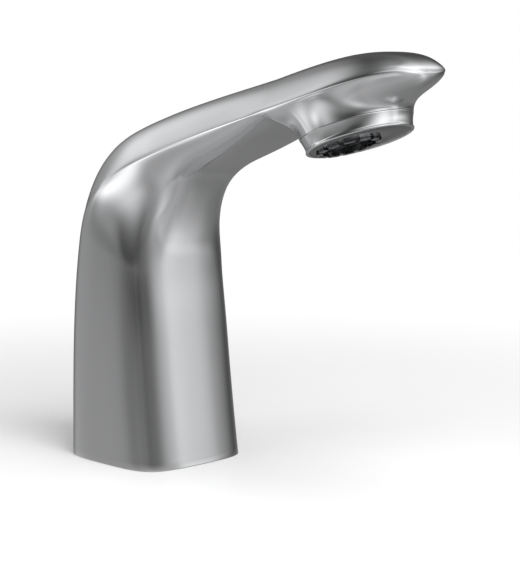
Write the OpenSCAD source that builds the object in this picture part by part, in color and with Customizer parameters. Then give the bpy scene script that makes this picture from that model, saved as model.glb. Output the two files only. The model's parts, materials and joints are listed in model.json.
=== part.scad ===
// Touch-free basin tap: one cast column that leans over into a spout, with its
// outlet, sensor, valve and battery cells inside. X forward, Y left, Z up,
// origin in the middle of the base, on the deck.

/* [Overall size] */
// Base centre to outlet centre, along X
spout_reach = 113.5; // [110:0.5:137]
// Deck to the middle of the outlet face
outlet_height = 132; // [130:1:160]
// Front to back of the foot
base_length = 57; // [56:1:70]
// Side to side of the foot
base_width = 56; // [55:1:70]
// Side to side of the arm, at its sharp edge
arm_width = 43; // [43:1:54]
// Wall of the casting
wall = 3; // [2:0.5:3.5]

/* [Outlet] */
// Lean of the outlet axis away from straight down
outlet_tilt = 19.5; // [10:0.5:24]
// Outside diameter of the collar at its lower rim
collar_d = 40; // [40:0.5:46]
// Height of the collar
collar_height = 5.5; // [5:0.5:7]
// Diameter of the opening for the aerator
aerator_d = 24; // [22:0.5:24]
// How far the aerator sits behind the collar's centre
aerator_offset = 5.8; // [4:0.1:5.9]
// Slots in the aerator's rim
aerator_slots = 12; // [6:1:16]

/* [Nose] */
// Outlet centre to the tip of the nose, along X
nose_overhang = 33.5; // [30:0.5:42]
// Outlet face to the tip of the nose, upwards
nose_rise = 25; // [24:0.5:30]

/* [Valve] */
// Lift of the valve disc and of its pilot plunger
valve_lift = 1.5; // [1:0.1:2]
// Lift of the check valve
check_lift = 2; // [1.5:0.1:2]
// Outside diameter of the water tube
tube_d = 6; // [5:0.5:6]
// Diameter of one battery cell
cell_d = 17; // [14:0.5:17]
// Length of one battery cell
cell_length = 34.5; // [25:0.5:34.5]

/* [Base fittings] */
// Core diameter of the water inlet's thread
inlet_d = 9; // [8:0.1:11]
// Core diameter of the thread for each clamping stud
stud_d = 6.8; // [5:0.1:8.6]
// Distance between the two studs
stud_spacing = 36; // [34:0.5:38]
// Opening for a supply lead
lead_d = 4; // [3:0.5:5]

/* [Fits] */
// Gap round a piece that is pushed or dropped in
slip = 0.1; // [0.05:0.05:0.2]
// Gap round a sliding stem or plunger
run = 0.05; // [0.03:0.01:0.1]

/* [View] */
// One piece by name, or all of them
// Steps along the column and arm
body_steps = 34; // [16:1:60]

/* [Hidden] */
$fn = 64;

// Form of the body.
// Stations down the middle of the body: x, z, lean of the cross section,
// distance to the back or top, to the front or underside, to the sharp
// edge, and half the width at that edge.
corner = 0.94;
side_k = (3 * corner + 4) / 8;
rx = spout_reach / 113.5;
rz = outlet_height / 132;
rl = base_length / 57;
bw = base_width / 2 * side_k;
aw = arm_width / 2;
stations = [
  [0, 0, 0, 28 * rl, 29 * rl, 23 * rl, bw],
  [0, 30 * rz, 2, 28 * rl, 25 * rl, 21 * rl, bw * 0.8 + aw * 0.2],
  [0, 60 * rz, 7, 27.5 * rl, 23 * rl, 19.5 * rl, bw * 0.5 + aw * 0.5],
  [0.5, 85 * rz, 19, 25 * rl, 20 * rl, 15.5, bw * 0.2 + aw * 0.8],
  [3.5 * rx, 103.5 * rz, 31, 24.5, 20, 7, aw],
  [15.5 * rx, 118 * rz, 35, 18.5, 16.5, 6.5, aw],
  [33 * rx, 130 * rz, 53, 13.5, 11.5, -2, aw],
  [60 * rx, 136 * rz, 69, 12.5, 10, 0, aw + 0.25],
  [83.5 * rx, 145 * rz, 76, 10, 6.5, -2.8, aw + 0.5]];
// where the column's section turns into the arm's
blend_from = 0.34;
blend_span = 0.4;
// arm section: crown handles, then the lower side
crown_flat = 0.6;
edge_in = 0.4;
edge_up = 0.74;
keel_w = 0.66;
keel_h = 0.12;
ring_q = 7;
low_q = 4 * ring_q;
ring_n = 8 * ring_q;
nose_n = 16;
neck_n = 10;
tip = [spout_reach + nose_overhang, 0, outlet_height + nose_rise];
tilt = outlet_tilt;
out_axis = [-sin(tilt), 0, cos(tilt)];
out_x = [cos(tilt), 0, sin(tilt)];
out_o = [spout_reach, 0, outlet_height];
seam_r = collar_d / 2 + 1;

// Outlet sizes, measured up the outlet axis from its face
collar_r = collar_d / 2;
carrier_r = collar_r - 1.4;
cover_top = 2;
bore_r = aerator_d / 2;
bore_top = 9.5;
rim_out = 0.6;
carrier_top = 12.8;
pocket_r = carrier_r - 4.4;
// wire radius of both seal rings, which fill grooves 1.1 deep
seal_r = (1.1 + slip) / 2;
screw_at = [for (s = [-1, 1]) [(carrier_r - 2.7) * cos(75 * s), (carrier_r - 2.7) * sin(75 * s)]];
bay = [7.4, 17, 9];

// Sizes inside the column
base_mid = 0.5 * rl;
base_in_l = base_length / 2 - wall;
base_in_w = base_width / 2 - wall;
plate_h = 8;
boss_off = [base_in_l - 8.4, base_in_w - 8];
lead_x = 17;
valve_x = -7;
socket_r = 9.6;
neck_r = socket_r - slip;
neck_z = 10;
check_r = 6.4;
seat_z = 38;
rim_z = 40;
bonnet_z = 47;
core_r = 4.2;
plunger_r = 3.4;
core_top = 68;
cell_z = 69.2;
cell_x = -1.5;
cell_y = cell_d / 2 + 0.25;
tube_r = tube_d / 2;
tube_x = 11.5;
port_z = 40;
run_slope = atan(tan(15.5) * rz / rx);
bend_r = 18 * rz;
nozzle_bend = 7;
// the tube's straight run goes through this point of the arm
run_at = [22 * rx, 128.6 * rz];
function run_z(x) = run_at[1] + (x - run_at[0]) * tan(run_slope);
bend_end_x = tube_x + bend_r - bend_r * cos(90 - run_slope);
bend_z = run_z(bend_end_x) - bend_r * sin(90 - run_slope);
// where the run meets the nozzle's own axis
noz = [spout_reach - aerator_offset * cos(tilt), outlet_height - aerator_offset * sin(tilt)];
noz_l = (run_z(noz[0]) - noz[1]) / (cos(tilt) + sin(tilt) * tan(run_slope));
pocket_top = noz_l + 1.57;
noz_turn = 90 - tilt + run_slope;
noz_cut = nozzle_bend * tan(noz_turn / 2);
meet = [noz[0] - noz_l * sin(tilt), noz[1] + noz_l * cos(tilt)];

// Curves
function knot(i) = min(max(i - 3, 0), len(stations) - 3);
function basis(i, k, t) = k == 0 ? (t >= knot(i) && t < knot(i + 1) ? 1 : 0) :
  (knot(i + k) > knot(i) ? (t - knot(i)) / (knot(i + k) - knot(i)) * basis(i, k - 1, t) : 0)
  + (knot(i + k + 1) > knot(i + 1) ?
    (knot(i + k + 1) - t) / (knot(i + k + 1) - knot(i + 1)) * basis(i + 1, k - 1, t) : 0);
function sum(v, i = 0) = i == len(v) - 1 ? v[i] : v[i] + sum(v, i + 1);
// a station's back, front and edge points, and its half width
function rail_row(s, w) =
  let (u = [-cos(s[2]), sin(s[2])], c = [s[0], s[1]],
       a = c + u * (s[3] - w), b = c - u * (s[4] - w), e = c + u * s[5])
  [a[0], a[1], b[0], b[1], e[0], e[1], s[6] - w * 0.9];
function rails(t, w) =
  let (tt = min(t, 0.999999) * (len(stations) - 3))
  sum([for (i = [0 : len(stations) - 1]) rail_row(stations[i], w) * basis(i, 3, tt)]);
function bez(p, s) = p[0] * pow(1 - s, 3) + p[1] * 3 * s * pow(1 - s, 2)
  + p[2] * 3 * s * s * (1 - s) + p[3] * pow(s, 3);
function step3(x) = let (y = min(max(x, 0), 1)) y * y * (3 - 2 * y);
function at_y(p, y) = [p[0], y, p[1]];
function mirror_y(p) = [p[0], -p[1], p[2]];

// a cubic's handles cut in two at its middle, as seven points
function halved(p) =
  let (a = (p[0] + p[1]) / 2, b = (p[1] + p[2]) / 2, c = (p[2] + p[3]) / 2,
       d = (a + b) / 2, e = (b + c) / 2)
  [p[0], a, d, (d + e) / 2, e, c, p[3]];
// thirteen control points of half a section, from the back round to the front:
// the column's front corner runs on as the lower corner of the arm
function half_ctrl(t, w) =
  let (r = rails(t, w), tp = [r[0], r[1]], bt = [r[2], r[3]], ed = [r[4], r[5]],
       hw = r[6], up = tp - bt, k = corner, cw = hw / side_k,
       m = step3((t - blend_from) / blend_span),
       kp = bt + (ed - bt) * keel_h, kw = hw * keel_w,
       lo = ed - bt, sd = [lo[0] * 0.34, hw * 0.42, lo[1] * 0.34],
       side = halved([at_y(bt + up * 0.5, cw), at_y(bt + up * (0.5 - 0.5 * k), cw),
         at_y(bt, k * cw), at_y(bt, 0)]),
       col = concat([at_y(tp, 0), at_y(tp, k * cw / 2),
         at_y(bt + up * (3.5 + 0.5 * k) / 4, cw * (2 * k + 1) / 4),
         at_y(bt + up * (6 + 1.5 * k) / 8, hw),
         at_y(bt + up * (2.5 + k) / 4, cw * (k + 3) / 4),
         at_y(bt + up * (0.5 + 0.25 * k), cw)], side),
       flank = halved([at_y(ed, hw), at_y(ed - lo * 0.45, hw * 0.945),
         at_y(kp, kw) + sd * 0.45, at_y(kp, kw)]),
       arm = concat([at_y(tp, 0), at_y(tp, crown_flat * hw),
         at_y(ed + up * edge_up, hw * (1 - edge_in))], flank,
         [at_y(kp, kw) - sd * 0.3, at_y(bt, 0.5 * kw), at_y(bt, 0)]))
  [for (i = [0 : 12]) col[i] * (1 - m) + arm[i] * m];
function half_ring(t, w) =
  let (c = half_ctrl(t, w))
  [for (g = [0 : 3]) for (j = [0 : ring_q - 1])
     bez([c[3 * g], c[3 * g + 1], c[3 * g + 2], c[3 * g + 3]], j / ring_q), c[12]];
function ring(t, w) =
  let (h = half_ring(t, w))
  concat(h, [for (j = [low_q - 1 : -1 : 1]) mirror_y(h[j])]);

// Nose
end_h = half_ring(1, 0);
pre_h = half_ring(0.995, 0);
function unit(v) = v / norm(v);
top_p = [end_h[0], end_h[0] + unit(end_h[0] - pre_h[0]) * 39,
  tip + [-10, 0, 11], tip];
edge_p = [end_h[ring_q], end_h[ring_q] + unit(end_h[ring_q] - pre_h[ring_q]) * 24,
  tip + [0, aw + 4.5, 4.5], tip];
end_up = end_h[0] - end_h[low_q];
ridge_k = edge_up * norm(end_up) / norm(end_h[0] - [end_h[ring_q][0], 0, end_h[ring_q][2]]);
// half a crown section of the nose, from the ridge to the edge
function crown_row(u) =
  let (a = bez(top_p, u), e = bez(edge_p, u), y = [0, e[1], 0],
       d = a - [e[0], 0, e[2]], k = ridge_k + (0.85 - ridge_k) * u)
  [for (j = [0 : ring_q]) bez([a, a + y * crown_flat,
     e - y * (edge_in + (0.25 - edge_in) * u) + d * k, e], j / ring_q)];
// full crown row, from the right edge over the ridge to the left edge
function full_row(u) =
  let (h = crown_row(u))
  concat([for (j = [ring_q : -1 : 1]) mirror_y(h[j])], h);
// outline of the underside: the arm's lower half ring, then the nose edge
edge_pts = [for (k = [1 : nose_n - 1]) bez(edge_p, k / nose_n)];
loop_pts = concat([for (j = [ring_q : low_q]) end_h[j]],
  [for (j = [low_q - 1 : -1 : ring_q]) mirror_y(end_h[j])],
  [for (p = edge_pts) mirror_y(p)], [tip],
  [for (k = [nose_n - 2 : -1 : 0]) edge_pts[k]]);
low_n = 6 * ring_q + 1;
loop_n = len(loop_pts);
// down slope of the surface at each outline point, along its ray
function plan(p) = let (d = p - out_o) [d * out_x, d[1]];
function arm_normal(j) =
  let (a = j <= low_q ? j : ring_n - j,
       p = end_h[a], q = end_h[min(a + 1, low_q)], o = end_h[max(a - 1, ring_q)],
       n = cross(p - pre_h[a], q - o))
  a == j ? n : [n[0], -n[1], n[2]];
flare = 42.6;
function ray_slope(i) =
  let (p = loop_pts[i], r = plan(p), rho = -(out_x * r[0] + [0, r[1], 0]) / norm(r))
  i < low_n ? let (n = arm_normal(i + ring_q)) -(rho * n) / (out_axis * n) :
  let (a = plan(loop_pts[i - 1]), b = plan(loop_pts[(i + 1) % loop_n]), d = b - a,
       nu = [d[1], -d[0]] / norm(d))
  -tan(flare) * abs(nu * r) / norm(r);
// share of a steep lip in a ray's start, which grows with its length
lip = 0.72;
function neck_ray(i) =
  let (p = loop_pts[i], r = plan(p), th = atan2(r[1], r[0]), k = ray_slope(i),
       inward = -(out_x * cos(th) + [0, sin(th), 0]),
       foot = out_o + out_axis * collar_height - inward * seam_r,
       gap = max(norm(r) - seam_r, 0), rise = (p - foot) * out_axis,
       m = i < low_n ? 0 : lip * gap / (gap + 6),
       slope = (inward + out_axis * k) * max(gap, 1) * (i < low_n ? 0.55 : 0.435),
       start = slope * (1 - m) + (inward * 0.24 - out_axis) * rise * m * 0.6,
       last = (out_axis - inward * 0.19 * gap / (gap + 1.5)) * rise * 0.474)
  [p, p + start, foot + last, foot];

// The casting as one closed skin, outside and inside
inner_steps = 16;
inner_end = 0.97;
function slab(n, first, m) =
  [for (j = [0 : n - 1]) [first + j, first + (j + 1) % n, m + (j + 1) % n, m + j]];
function tris(q) = [for (f = q) each [[f[0], f[1], f[2]], [f[0], f[2], f[3]]]];
module body_skin() {
  foot_ring = [for (p = ring(0, 0.4)) [p[0], p[1], 0]];
  rings = [for (i = [0 : body_steps])
    i == 0 ? [for (p = ring(0, 0)) p + [0, 0, 0.5]] : ring(i / body_steps, 0)];
  inner = [for (i = [0 : inner_steps]) ring(i / inner_steps * inner_end, wall)];
  crown = [for (k = [1 : nose_n - 1]) full_row(k / nose_n)];
  rays = [for (i = [0 : loop_n - 1]) neck_ray(i)];
  neck = [for (v = [1 : neck_n]) [for (r = rays) bez(r, v / neck_n)]];
  row = 2 * ring_q + 1;
  o_ring = ring_n;
  o_crown = o_ring + (body_steps + 1) * ring_n;
  o_tip = o_crown + (nose_n - 1) * row;
  o_neck = o_tip + 1;
  o_in = o_neck + neck_n * loop_n;
  last = o_ring + body_steps * ring_n;
  // indices of a crown row, right edge first
  function crow(k) = k == 0 ?
    [for (j = [-ring_q : ring_q]) last + (j + ring_n) % ring_n] :
    k == nose_n ? [for (j = [0 : row - 1]) o_tip] :
    [for (j = [0 : row - 1]) o_crown + (k - 1) * row + j];
  // indices of the underside outline, in the order of loop_pts
  outline = concat([for (j = [ring_q : ring_n - ring_q]) last + j],
    [for (k = [1 : nose_n - 1]) o_crown + (k - 1) * row], [o_tip],
    [for (k = [nose_n - 1 : -1 : 1]) o_crown + (k - 1) * row + row - 1]);
  function nrow(v) = v == 0 ? outline : [for (i = [0 : loop_n - 1]) o_neck + (v - 1) * loop_n + i];
  polyhedron(
    points = concat(foot_ring, [for (r = rings) each r], [for (r = crown) each r], [tip],
      [for (r = neck) each r], [for (r = inner) each r]),
    faces = concat(
      tris([for (i = [0 : body_steps]) each slab(ring_n, i * ring_n, (i + 1) * ring_n)]),
      [for (k = [0 : nose_n - 1]) let (a = crow(k), b = crow(k + 1))
         each [for (j = [0 : row - 2]) each k == nose_n - 1 ? [[a[j], a[j + 1], b[j]]] :
           [[a[j], a[j + 1], b[j + 1]], [a[j], b[j + 1], b[j]]]]],
      [for (v = [0 : neck_n - 1]) let (a = nrow(v), b = nrow(v + 1))
         each [for (i = [0 : loop_n - 1]) let (n = (i + 1) % loop_n)
           each [[a[i], a[n], b[n]], [a[i], b[n], b[i]]]]],
      [[for (i = [0 : loop_n - 1]) nrow(neck_n)[i]]],
      [for (f = tris([for (i = [0 : inner_steps - 1])
           each slab(ring_n, o_in + i * ring_n, o_in + (i + 1) * ring_n)]))
         [f[2], f[1], f[0]]],
      [[for (j = [ring_n - 1 : -1 : 0]) o_in + inner_steps * ring_n + j]],
      tris([for (f = slab(ring_n, 0, o_in)) [f[3], f[2], f[1], f[0]]])));
}

// local frame of the outlet: Z runs up its axis from the face
module at_outlet() {
  translate(out_o) rotate([0, -tilt, 0]) children();
}
module at_aerator() {
  at_outlet() translate([-aerator_offset, 0, 0]) children();
}
module at_valve() {
  translate([valve_x, 0, 0]) children();
}
// four corners of the foot, with X turned outwards
module corners() {
  for (sx = [-1, 1], sy = [-1, 1])
    translate([base_mid + sx * boss_off[0], sy * boss_off[1], 0])
      rotate([0, 0, atan2(sy, sx)]) children();
}
module tube_piece(r, h, ri) {
  difference() {
    cylinder(r = r, h = h);
    translate([0, 0, -1]) cylinder(r = ri, h = h + 2);
  }
}
// foot outline with a given gap to the outside, where the hollow is as
// narrow as at the top of the base plate
foot_t = 0.017;
function foot_pts(w) = [for (p = ring(foot_t, w)) [p[0], p[1]]];

module body() {
  color("silver") difference() {
    union() {
      body_skin();
      intersection() {
        corners() {
          translate([0, 0, plate_h]) cylinder(r = 4.2, h = 14);
          translate([0, -1.5, plate_h]) cube([12, 3, 14]);
        }
        translate([0, 0, plate_h]) linear_extrude(14) polygon([for (p = ring(0.05, 1.2)) [p[0], p[1]]]);
      }
    }
    at_outlet() translate([0, 0, -1]) cylinder(r = carrier_r + slip, h = carrier_top + 1.2);
    at_outlet() cylinder(r = pocket_r, h = pocket_top);
    // way for the tube and the lead from the arm's hollow to the pocket
    translate([meet[0], 0, meet[1] + 0.6]) rotate([0, -90 - run_slope, 0]) {
      for (y = [-4, 0, 4]) translate([0, y, 0]) cylinder(r = 4.4, h = 33 * rx);
    }
    at_outlet() for (p = screw_at) translate([p[0], p[1], 0]) cylinder(r = 1.05, h = carrier_top + 6);
    corners() translate([0, 0, plate_h - 1]) cylinder(r = 1.25, h = 11);
  }
}

// Pieces of the outlet
module collar() {
  color("gainsboro") at_outlet() rotate_extrude() polygon([
    [carrier_r + slip, 0], [collar_r - 0.5, 0], [collar_r - 0.15, 0.15], [collar_r, 0.5],
    [collar_r - 0.25, 0.9], [collar_r - 0.25, 1.3], [collar_r + 0.05, 2.75], [collar_r + 0.4, 4],
    [seam_r - 0.15, collar_height - 0.3], [seam_r - 0.15, collar_height],
    [carrier_r + slip, collar_height]]);
}

module face_cover() {
  color([0.18, 0.18, 0.2]) difference() {
    at_outlet() translate([0, 0, 0.25]) cylinder(r = carrier_r, h = cover_top - 0.25);
    at_aerator() translate([0, 0, -1]) cylinder(r = bore_r + slip, h = cover_top + 2);
  }
}

module nozzle_carrier() {
  color("dimgray") difference() {
    at_outlet() translate([0, 0, cover_top]) cylinder(r = carrier_r, h = carrier_top - cover_top);
    at_aerator() translate([0, 0, cover_top - 1]) cylinder(r = bore_r, h = bore_top - cover_top + 1);
    at_aerator() translate([0, 0, bore_top - 1]) cylinder(r = 8.5, h = 2.6);
    at_aerator() translate([0, 0, bore_top]) cylinder(r = tube_r + slip, h = 6);
    // sensor bay, open to the cover, with a way out for the lead
    at_outlet() translate([bay[0], -bay[2], cover_top - 1]) cube([bay[1] - bay[0], 2 * bay[2], 8]);
    at_outlet() translate([lead_out, lead_y, bore_top - 2]) cylinder(r = 1.5, h = 8);
    // groove for the seal ring
    at_outlet() translate([0, 0, 10.4]) tube_piece(carrier_r + 1, 1.6, carrier_r - 1.1);
    for (p = screw_at) at_outlet() translate([p[0], p[1], 0]) {
      cylinder(r = 1.35, h = 20);
      cylinder(r = 2.15, h = 5);
    }
  }
}

module carrier_seal() {
  color([0.1, 0.1, 0.1]) at_outlet()
    rotate_extrude() translate([carrier_r + slip - seal_r, 11.2]) circle(r = seal_r);
}

module carrier_screws() {
  color("lightgray") at_outlet() for (p = screw_at) translate([p[0], p[1], 0]) difference() {
    union() {
      translate([0, 0, 3]) cylinder(r = 2, h = 2);
      translate([0, 0, 3]) cylinder(r = 1.04, h = carrier_top + 1.5);
    }
    translate([-1.4, -0.25, 2.5]) cube([2.8, 0.5, 1]);
    translate([-0.25, -1.4, 2.5]) cube([0.5, 2.8, 1]);
  }
}

module aerator_housing() {
  color([0.75, 0.76, 0.78]) at_aerator() difference() {
    translate([0, 0, -rim_out]) tube_piece(bore_r - slip, 8.3 + rim_out, bore_r - 2.2);
    // slots for the key
    for (i = [0 : aerator_slots - 1]) rotate([0, 0, i * 360 / aerator_slots])
      translate([bore_r - 3.4, -0.9, -1 - rim_out]) cube([4, 1.8, 2 + rim_out]);
  }
}

module aerator_core() {
  r = bore_r - 2.2 - slip;
  color([0.35, 0.36, 0.38]) at_aerator() union() {
    // grid at the mouth
    intersection() {
      translate([0, 0, 2.2]) cylinder(r = r, h = 2);
      union() {
        for (i = [-5 : 5]) translate([i * 1.7 - 0.3, -r, 2.2]) cube([0.6, 2 * r, 1.2]);
        for (i = [-5 : 5]) translate([-r, i * 1.7 - 0.3, 3]) cube([2 * r, 0.6, 1.2]);
      }
    }
    translate([0, 0, 2.2]) tube_piece(r, 5.9, r - 0.9);
    // jet plate
    difference() {
      translate([0, 0, 6.4]) cylinder(r = r - 0.5, h = 1.7);
      for (i = [0 : 11]) rotate([0, 0, i * 30]) translate([6, 0, 6]) cylinder(r = 0.6, h = 3);
      for (i = [0 : 5]) rotate([0, 0, i * 60]) translate([3, 0, 6]) cylinder(r = 0.6, h = 3);
    }
  }
}

module aerator_gasket() {
  color([0.08, 0.08, 0.08]) at_aerator()
    translate([0, 0, 8.3]) tube_piece(bore_r - slip, bore_top - 8.3, 8.5);
}

module sensor_board() {
  color([0.1, 0.35, 0.2]) at_outlet() union() {
    translate([bay[0] + 0.5, -bay[2] + 0.5, 7.6]) cube([bay[1] - bay[0] - 1, 2 * bay[2] - 1, 1.4]);
    translate([10, -1.5, 6.6]) cube([4, 3, 1.2]);
  }
}

module ir_can(y, c) {
  color(c) at_outlet() translate([12.2, y, 0]) union() {
    translate([0, 0, 3.7]) cylinder(r = 1.5, h = 3);
    translate([0, 0, 3.7]) intersection() {
      sphere(r = 1.5);
      translate([-2, -2, -2]) cube([4, 4, 2.5]);
    }
    translate([0, 0, 6]) cylinder(r = 1.8, h = 1.6);
  }
}
module ir_emitter() {
  ir_can(-5, [0.55, 0.6, 0.75]);
}
module ir_receiver() {
  ir_can(5, [0.12, 0.1, 0.14]);
}

// pipe in the XZ plane: straights and bends that meet inside short sleeves
gap = 0.02;
module straight(r, h) {
  translate([0, 0, gap]) cylinder(r = r, h = h - 2 * gap);
}
module bend(r_path, r, angle) {
  translate([r_path, 0, 0]) rotate([90, 0, 0])
    rotate_extrude(angle = angle, start = 180 - angle) translate([r_path, 0]) circle(r = r);
}
module sleeve(r) {
  translate([0, 0, -0.5]) cylinder(r = r + 0.15, h = 1);
}
// up the column, over the elbow, along the arm and down into the outlet
module pipe_path(r, x0, z0, rb, run, rd, down) {
  ex = x0 + rb - rb * cos(90 - run_slope);
  zb = run_z(ex) - rb * sin(90 - run_slope);
  translate([x0, 0, z0]) straight(r, zb - z0);
  translate([x0, 0, zb]) {
    sleeve(r);
    bend(rb, r, 90 - run_slope);
  }
  translate([ex, 0, run_z(ex)]) rotate([0, 90 - run_slope, 0]) {
    sleeve(r);
    straight(r, run);
    translate([0, 0, run]) {
      sleeve(r);
      bend(rd, r, noz_turn);
      translate([rd - rd * cos(noz_turn), 0, rd * sin(noz_turn)]) rotate([0, noz_turn, 0]) {
        sleeve(r);
        straight(r, down);
      }
    }
  }
}
run_len = (meet[0] - bend_end_x) / cos(run_slope) - noz_cut;
drop_len = noz_l - noz_cut - bore_top - 1.7;
module water_tube() {
  color([0.85, 0.88, 0.9]) difference() {
    pipe_path(tube_r, tube_x, port_z - 8, bend_r, run_len, nozzle_bend, drop_len);
    pipe_path(tube_r - 1, tube_x, port_z - 9, bend_r, run_len, nozzle_bend, drop_len + 1);
  }
}

lead_r = 1.2;
lead_y = 5;
lead_out = 11.2;
lead_x0 = cell_x - cell_d / 2 - 2.15;
lead_bend = 22 * rz * rz;
lead_drop = 4;
module sensor_lead() {
  // from the control board, over the elbow and down into the sensor bay
  ex = lead_x0 + lead_bend - lead_bend * cos(90 - run_slope);
  lx = out_o[0] + lead_out * cos(tilt);
  lz = out_o[2] + lead_out * sin(tilt);
  l = (run_z(lx) - lz) / (cos(tilt) + sin(tilt) * tan(run_slope));
  cut = lead_drop * tan(noz_turn / 2);
  run = (lx - l * sin(tilt) - ex) / cos(run_slope) - cut;
  color([0.12, 0.12, 0.13]) translate([0, lead_y, 0])
    pipe_path(lead_r, lead_x0, cell_z + 31.2, lead_bend, run, lead_drop, l - cut - 9);
}

// Pieces of the foot
module base_plate() {
  color("darkgray") difference() {
    union() {
      linear_extrude(plate_h) polygon(foot_pts(wall + 0.15));
      at_valve() cylinder(r = socket_r + 3, h = 16);
      for (s = [-1, 1]) translate([0, s * stud_spacing / 2, 0])
        cylinder(r = stud_d / 2 + 2.6, h = plate_h + 4);
    }
    at_valve() translate([0, 0, -1]) cylinder(r = inlet_d / 2, h = neck_z + 2);
    at_valve() translate([0, 0, neck_z]) cylinder(r = socket_r, h = 8);
    for (s = [-1, 1]) translate([0, s * stud_spacing / 2, -1]) cylinder(r = stud_d / 2, h = plate_h + 6);
    translate([lead_x, 0, -1]) cylinder(r = lead_d / 2 + 1.6, h = plate_h + 2);
    corners() {
      translate([0, 0, -1]) cylinder(r = 1.65, h = plate_h + 2);
      translate([0, 0, -1]) cylinder(r = 3.1, h = 3.4);
    }
    // groove for the foot gasket
    translate([0, 0, -1]) linear_extrude(2.5) difference() {
      polygon(foot_pts(wall + 0.9));
      polygon(foot_pts(wall + 2.1));
    }
  }
}
module base_screws() {
  color("silver") corners() difference() {
    union() {
      translate([0, 0, 0.2]) cylinder(r = 2.75, h = 2.2);
      translate([0, 0, 0.2]) cylinder(r = 1.24, h = plate_h + 8);
    }
    translate([0, 0, -0.5]) cylinder(r = 1.25, h = 2, $fn = 6);
  }
}
module base_gasket() {
  color([0.1, 0.1, 0.1]) linear_extrude(1.5) difference() {
    polygon(foot_pts(wall + 1));
    polygon(foot_pts(wall + 2));
  }
}
module lead_grommet() {
  color([0.1, 0.1, 0.1]) translate([lead_x, 0, 0]) difference() {
    union() {
      cylinder(r = lead_d / 2 + 1.55, h = plate_h + 1);
      translate([0, 0, plate_h]) cylinder(r = lead_d / 2 + 2.6, h = 1.4);
    }
    translate([0, 0, -1]) cylinder(r = lead_d / 2, h = plate_h + 4);
  }
}

// Water path: strainer, check valve, diaphragm valve
check_seat = 14.4;
check_top = 26.6;
module inlet_filter() {
  color([0.7, 0.7, 0.66]) at_valve() union() {
    translate([0, 0, neck_z + 0.4]) tube_piece(check_r, 2, check_r - 1);
    intersection() {
      translate([0, 0, neck_z + 0.4]) cylinder(r = check_r - 0.5, h = 1);
      for (i = [-7 : 7]) {
        translate([i * 0.85 - 0.15, -8, neck_z + 0.4]) cube([0.3, 16, 0.3]);
        translate([-8, i * 0.85 - 0.15, neck_z + 0.6]) cube([16, 0.3, 0.3]);
      }
    }
  }
}
module check_housing() {
  color([0.85, 0.85, 0.8]) at_valve() difference() {
    union() {
      translate([0, 0, neck_z + 2.4]) tube_piece(check_r, check_top - neck_z - 2.4, 4.9);
      translate([0, 0, neck_z + 2.4]) tube_piece(5.4, check_seat - neck_z - 2.4, 2.8);
      // spider that guides the stem
      translate([0, 0, check_top - 2]) tube_piece(2.2, 2, 0.8 + run);
      for (a = [0, 120, 240]) rotate([0, 0, a]) translate([1.7, -0.5, check_top - 2]) cube([3.6, 1, 2]);
    }
  }
}
module check_poppet() {
  color([0.2, 0.25, 0.3]) at_valve() union() {
    translate([0, 0, check_seat + 0.02]) cylinder(r = 4.3, h = 1.4);
    translate([0, 0, check_seat]) cylinder(r = 0.8, h = check_top - check_seat - 0.4);
    translate([0, 0, check_seat + 1]) cylinder(r = 1.3, h = 1.4);
  }
}
// round wire wound between two heights
module coil_spring(r, wire, z0, z1, turns) {
  n = 16;
  m = 6;
  steps = turns * n;
  pitch = (z1 - z0 - wire) / turns;
  pts = [for (i = [0 : steps]) for (j = [0 : m - 1])
    let (a = i * 360 / n, b = j * 360 / m, q = r + wire / 2 * cos(b))
    [q * cos(a), q * sin(a), z0 + wire / 2 + pitch * i / n + wire / 2 * sin(b)]];
  polyhedron(points = pts, faces = concat(
    [[for (j = [0 : m - 1]) j]],
    [for (i = [0 : steps - 1]) for (j = [0 : m - 1]) let (a = i * m + j, b = i * m + (j + 1) % m)
       each [[a, a + m, b + m], [a, b + m, b]]],
    [[for (j = [m - 1 : -1 : 0]) steps * m + j]]));
}
module check_spring() {
  color("silver") at_valve() coil_spring(3, 0.5, check_seat + 1.5, check_top - 2.05, 5);
}
module valve_block() {
  color([0.78, 0.7, 0.5]) at_valve() difference() {
    union() {
      translate([0, 0, neck_z + 0.3]) cylinder(r = neck_r, h = 18);
      translate([0, 0, 16.2]) cylinder(r = socket_r + 2.4, h = 12);
      translate([0, 0, 27]) cylinder(r = 14.5, h = rim_z - 27);
      translate([0, 0, 31.4]) rotate([0, 90, 0]) cylinder(r = 4.2, h = tube_x - valve_x + 3);
      translate([tube_x - valve_x, 0, 27.2]) cylinder(r = 5, h = port_z - 27.2);
    }
    // check valve bore
    translate([0, 0, neck_z]) cylinder(r = check_r + slip / 2, h = check_top - neck_z);
    // four ways up into the ring chamber
    for (a = [45 : 90 : 315]) rotate([0, 0, a])
      translate([8.2, 0, check_top - 1.6]) cylinder(r = 1.4, h = 10);
    translate([0, 0, check_top - 1.6]) cylinder(r = 8.4, h = 2.6);
    translate([0, 0, 34.2]) tube_piece(10.8, 10, 5.2);
    translate([0, 0, seat_z]) cylinder(r = 11, h = 6);
    // outlet down the middle and out to the tube port
    translate([0, 0, 29.4]) cylinder(r = 3.4, h = 10);
    translate([0, 0, 31.4]) rotate([0, 90, 0]) cylinder(r = 1.9, h = tube_x - valve_x);
    translate([tube_x - valve_x, 0, 29.6]) cylinder(r = 2, h = 6);
    translate([tube_x - valve_x, 0, port_z - 8.2]) cylinder(r = tube_r + slip, h = 9);
    // room for the check valve's stem
    cylinder(r = 1.3, h = check_top - 0.4 + check_lift + 0.3);
    // groove for the seal at the neck
    translate([0, 0, 12.4]) tube_piece(neck_r + 1, 1.7, neck_r - 1.1);
  }
}
module inlet_seal() {
  color([0.1, 0.1, 0.1]) at_valve()
    rotate_extrude() translate([neck_r + slip - seal_r, 13.25]) circle(r = seal_r);
}
disc_r = 6.2;
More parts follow.
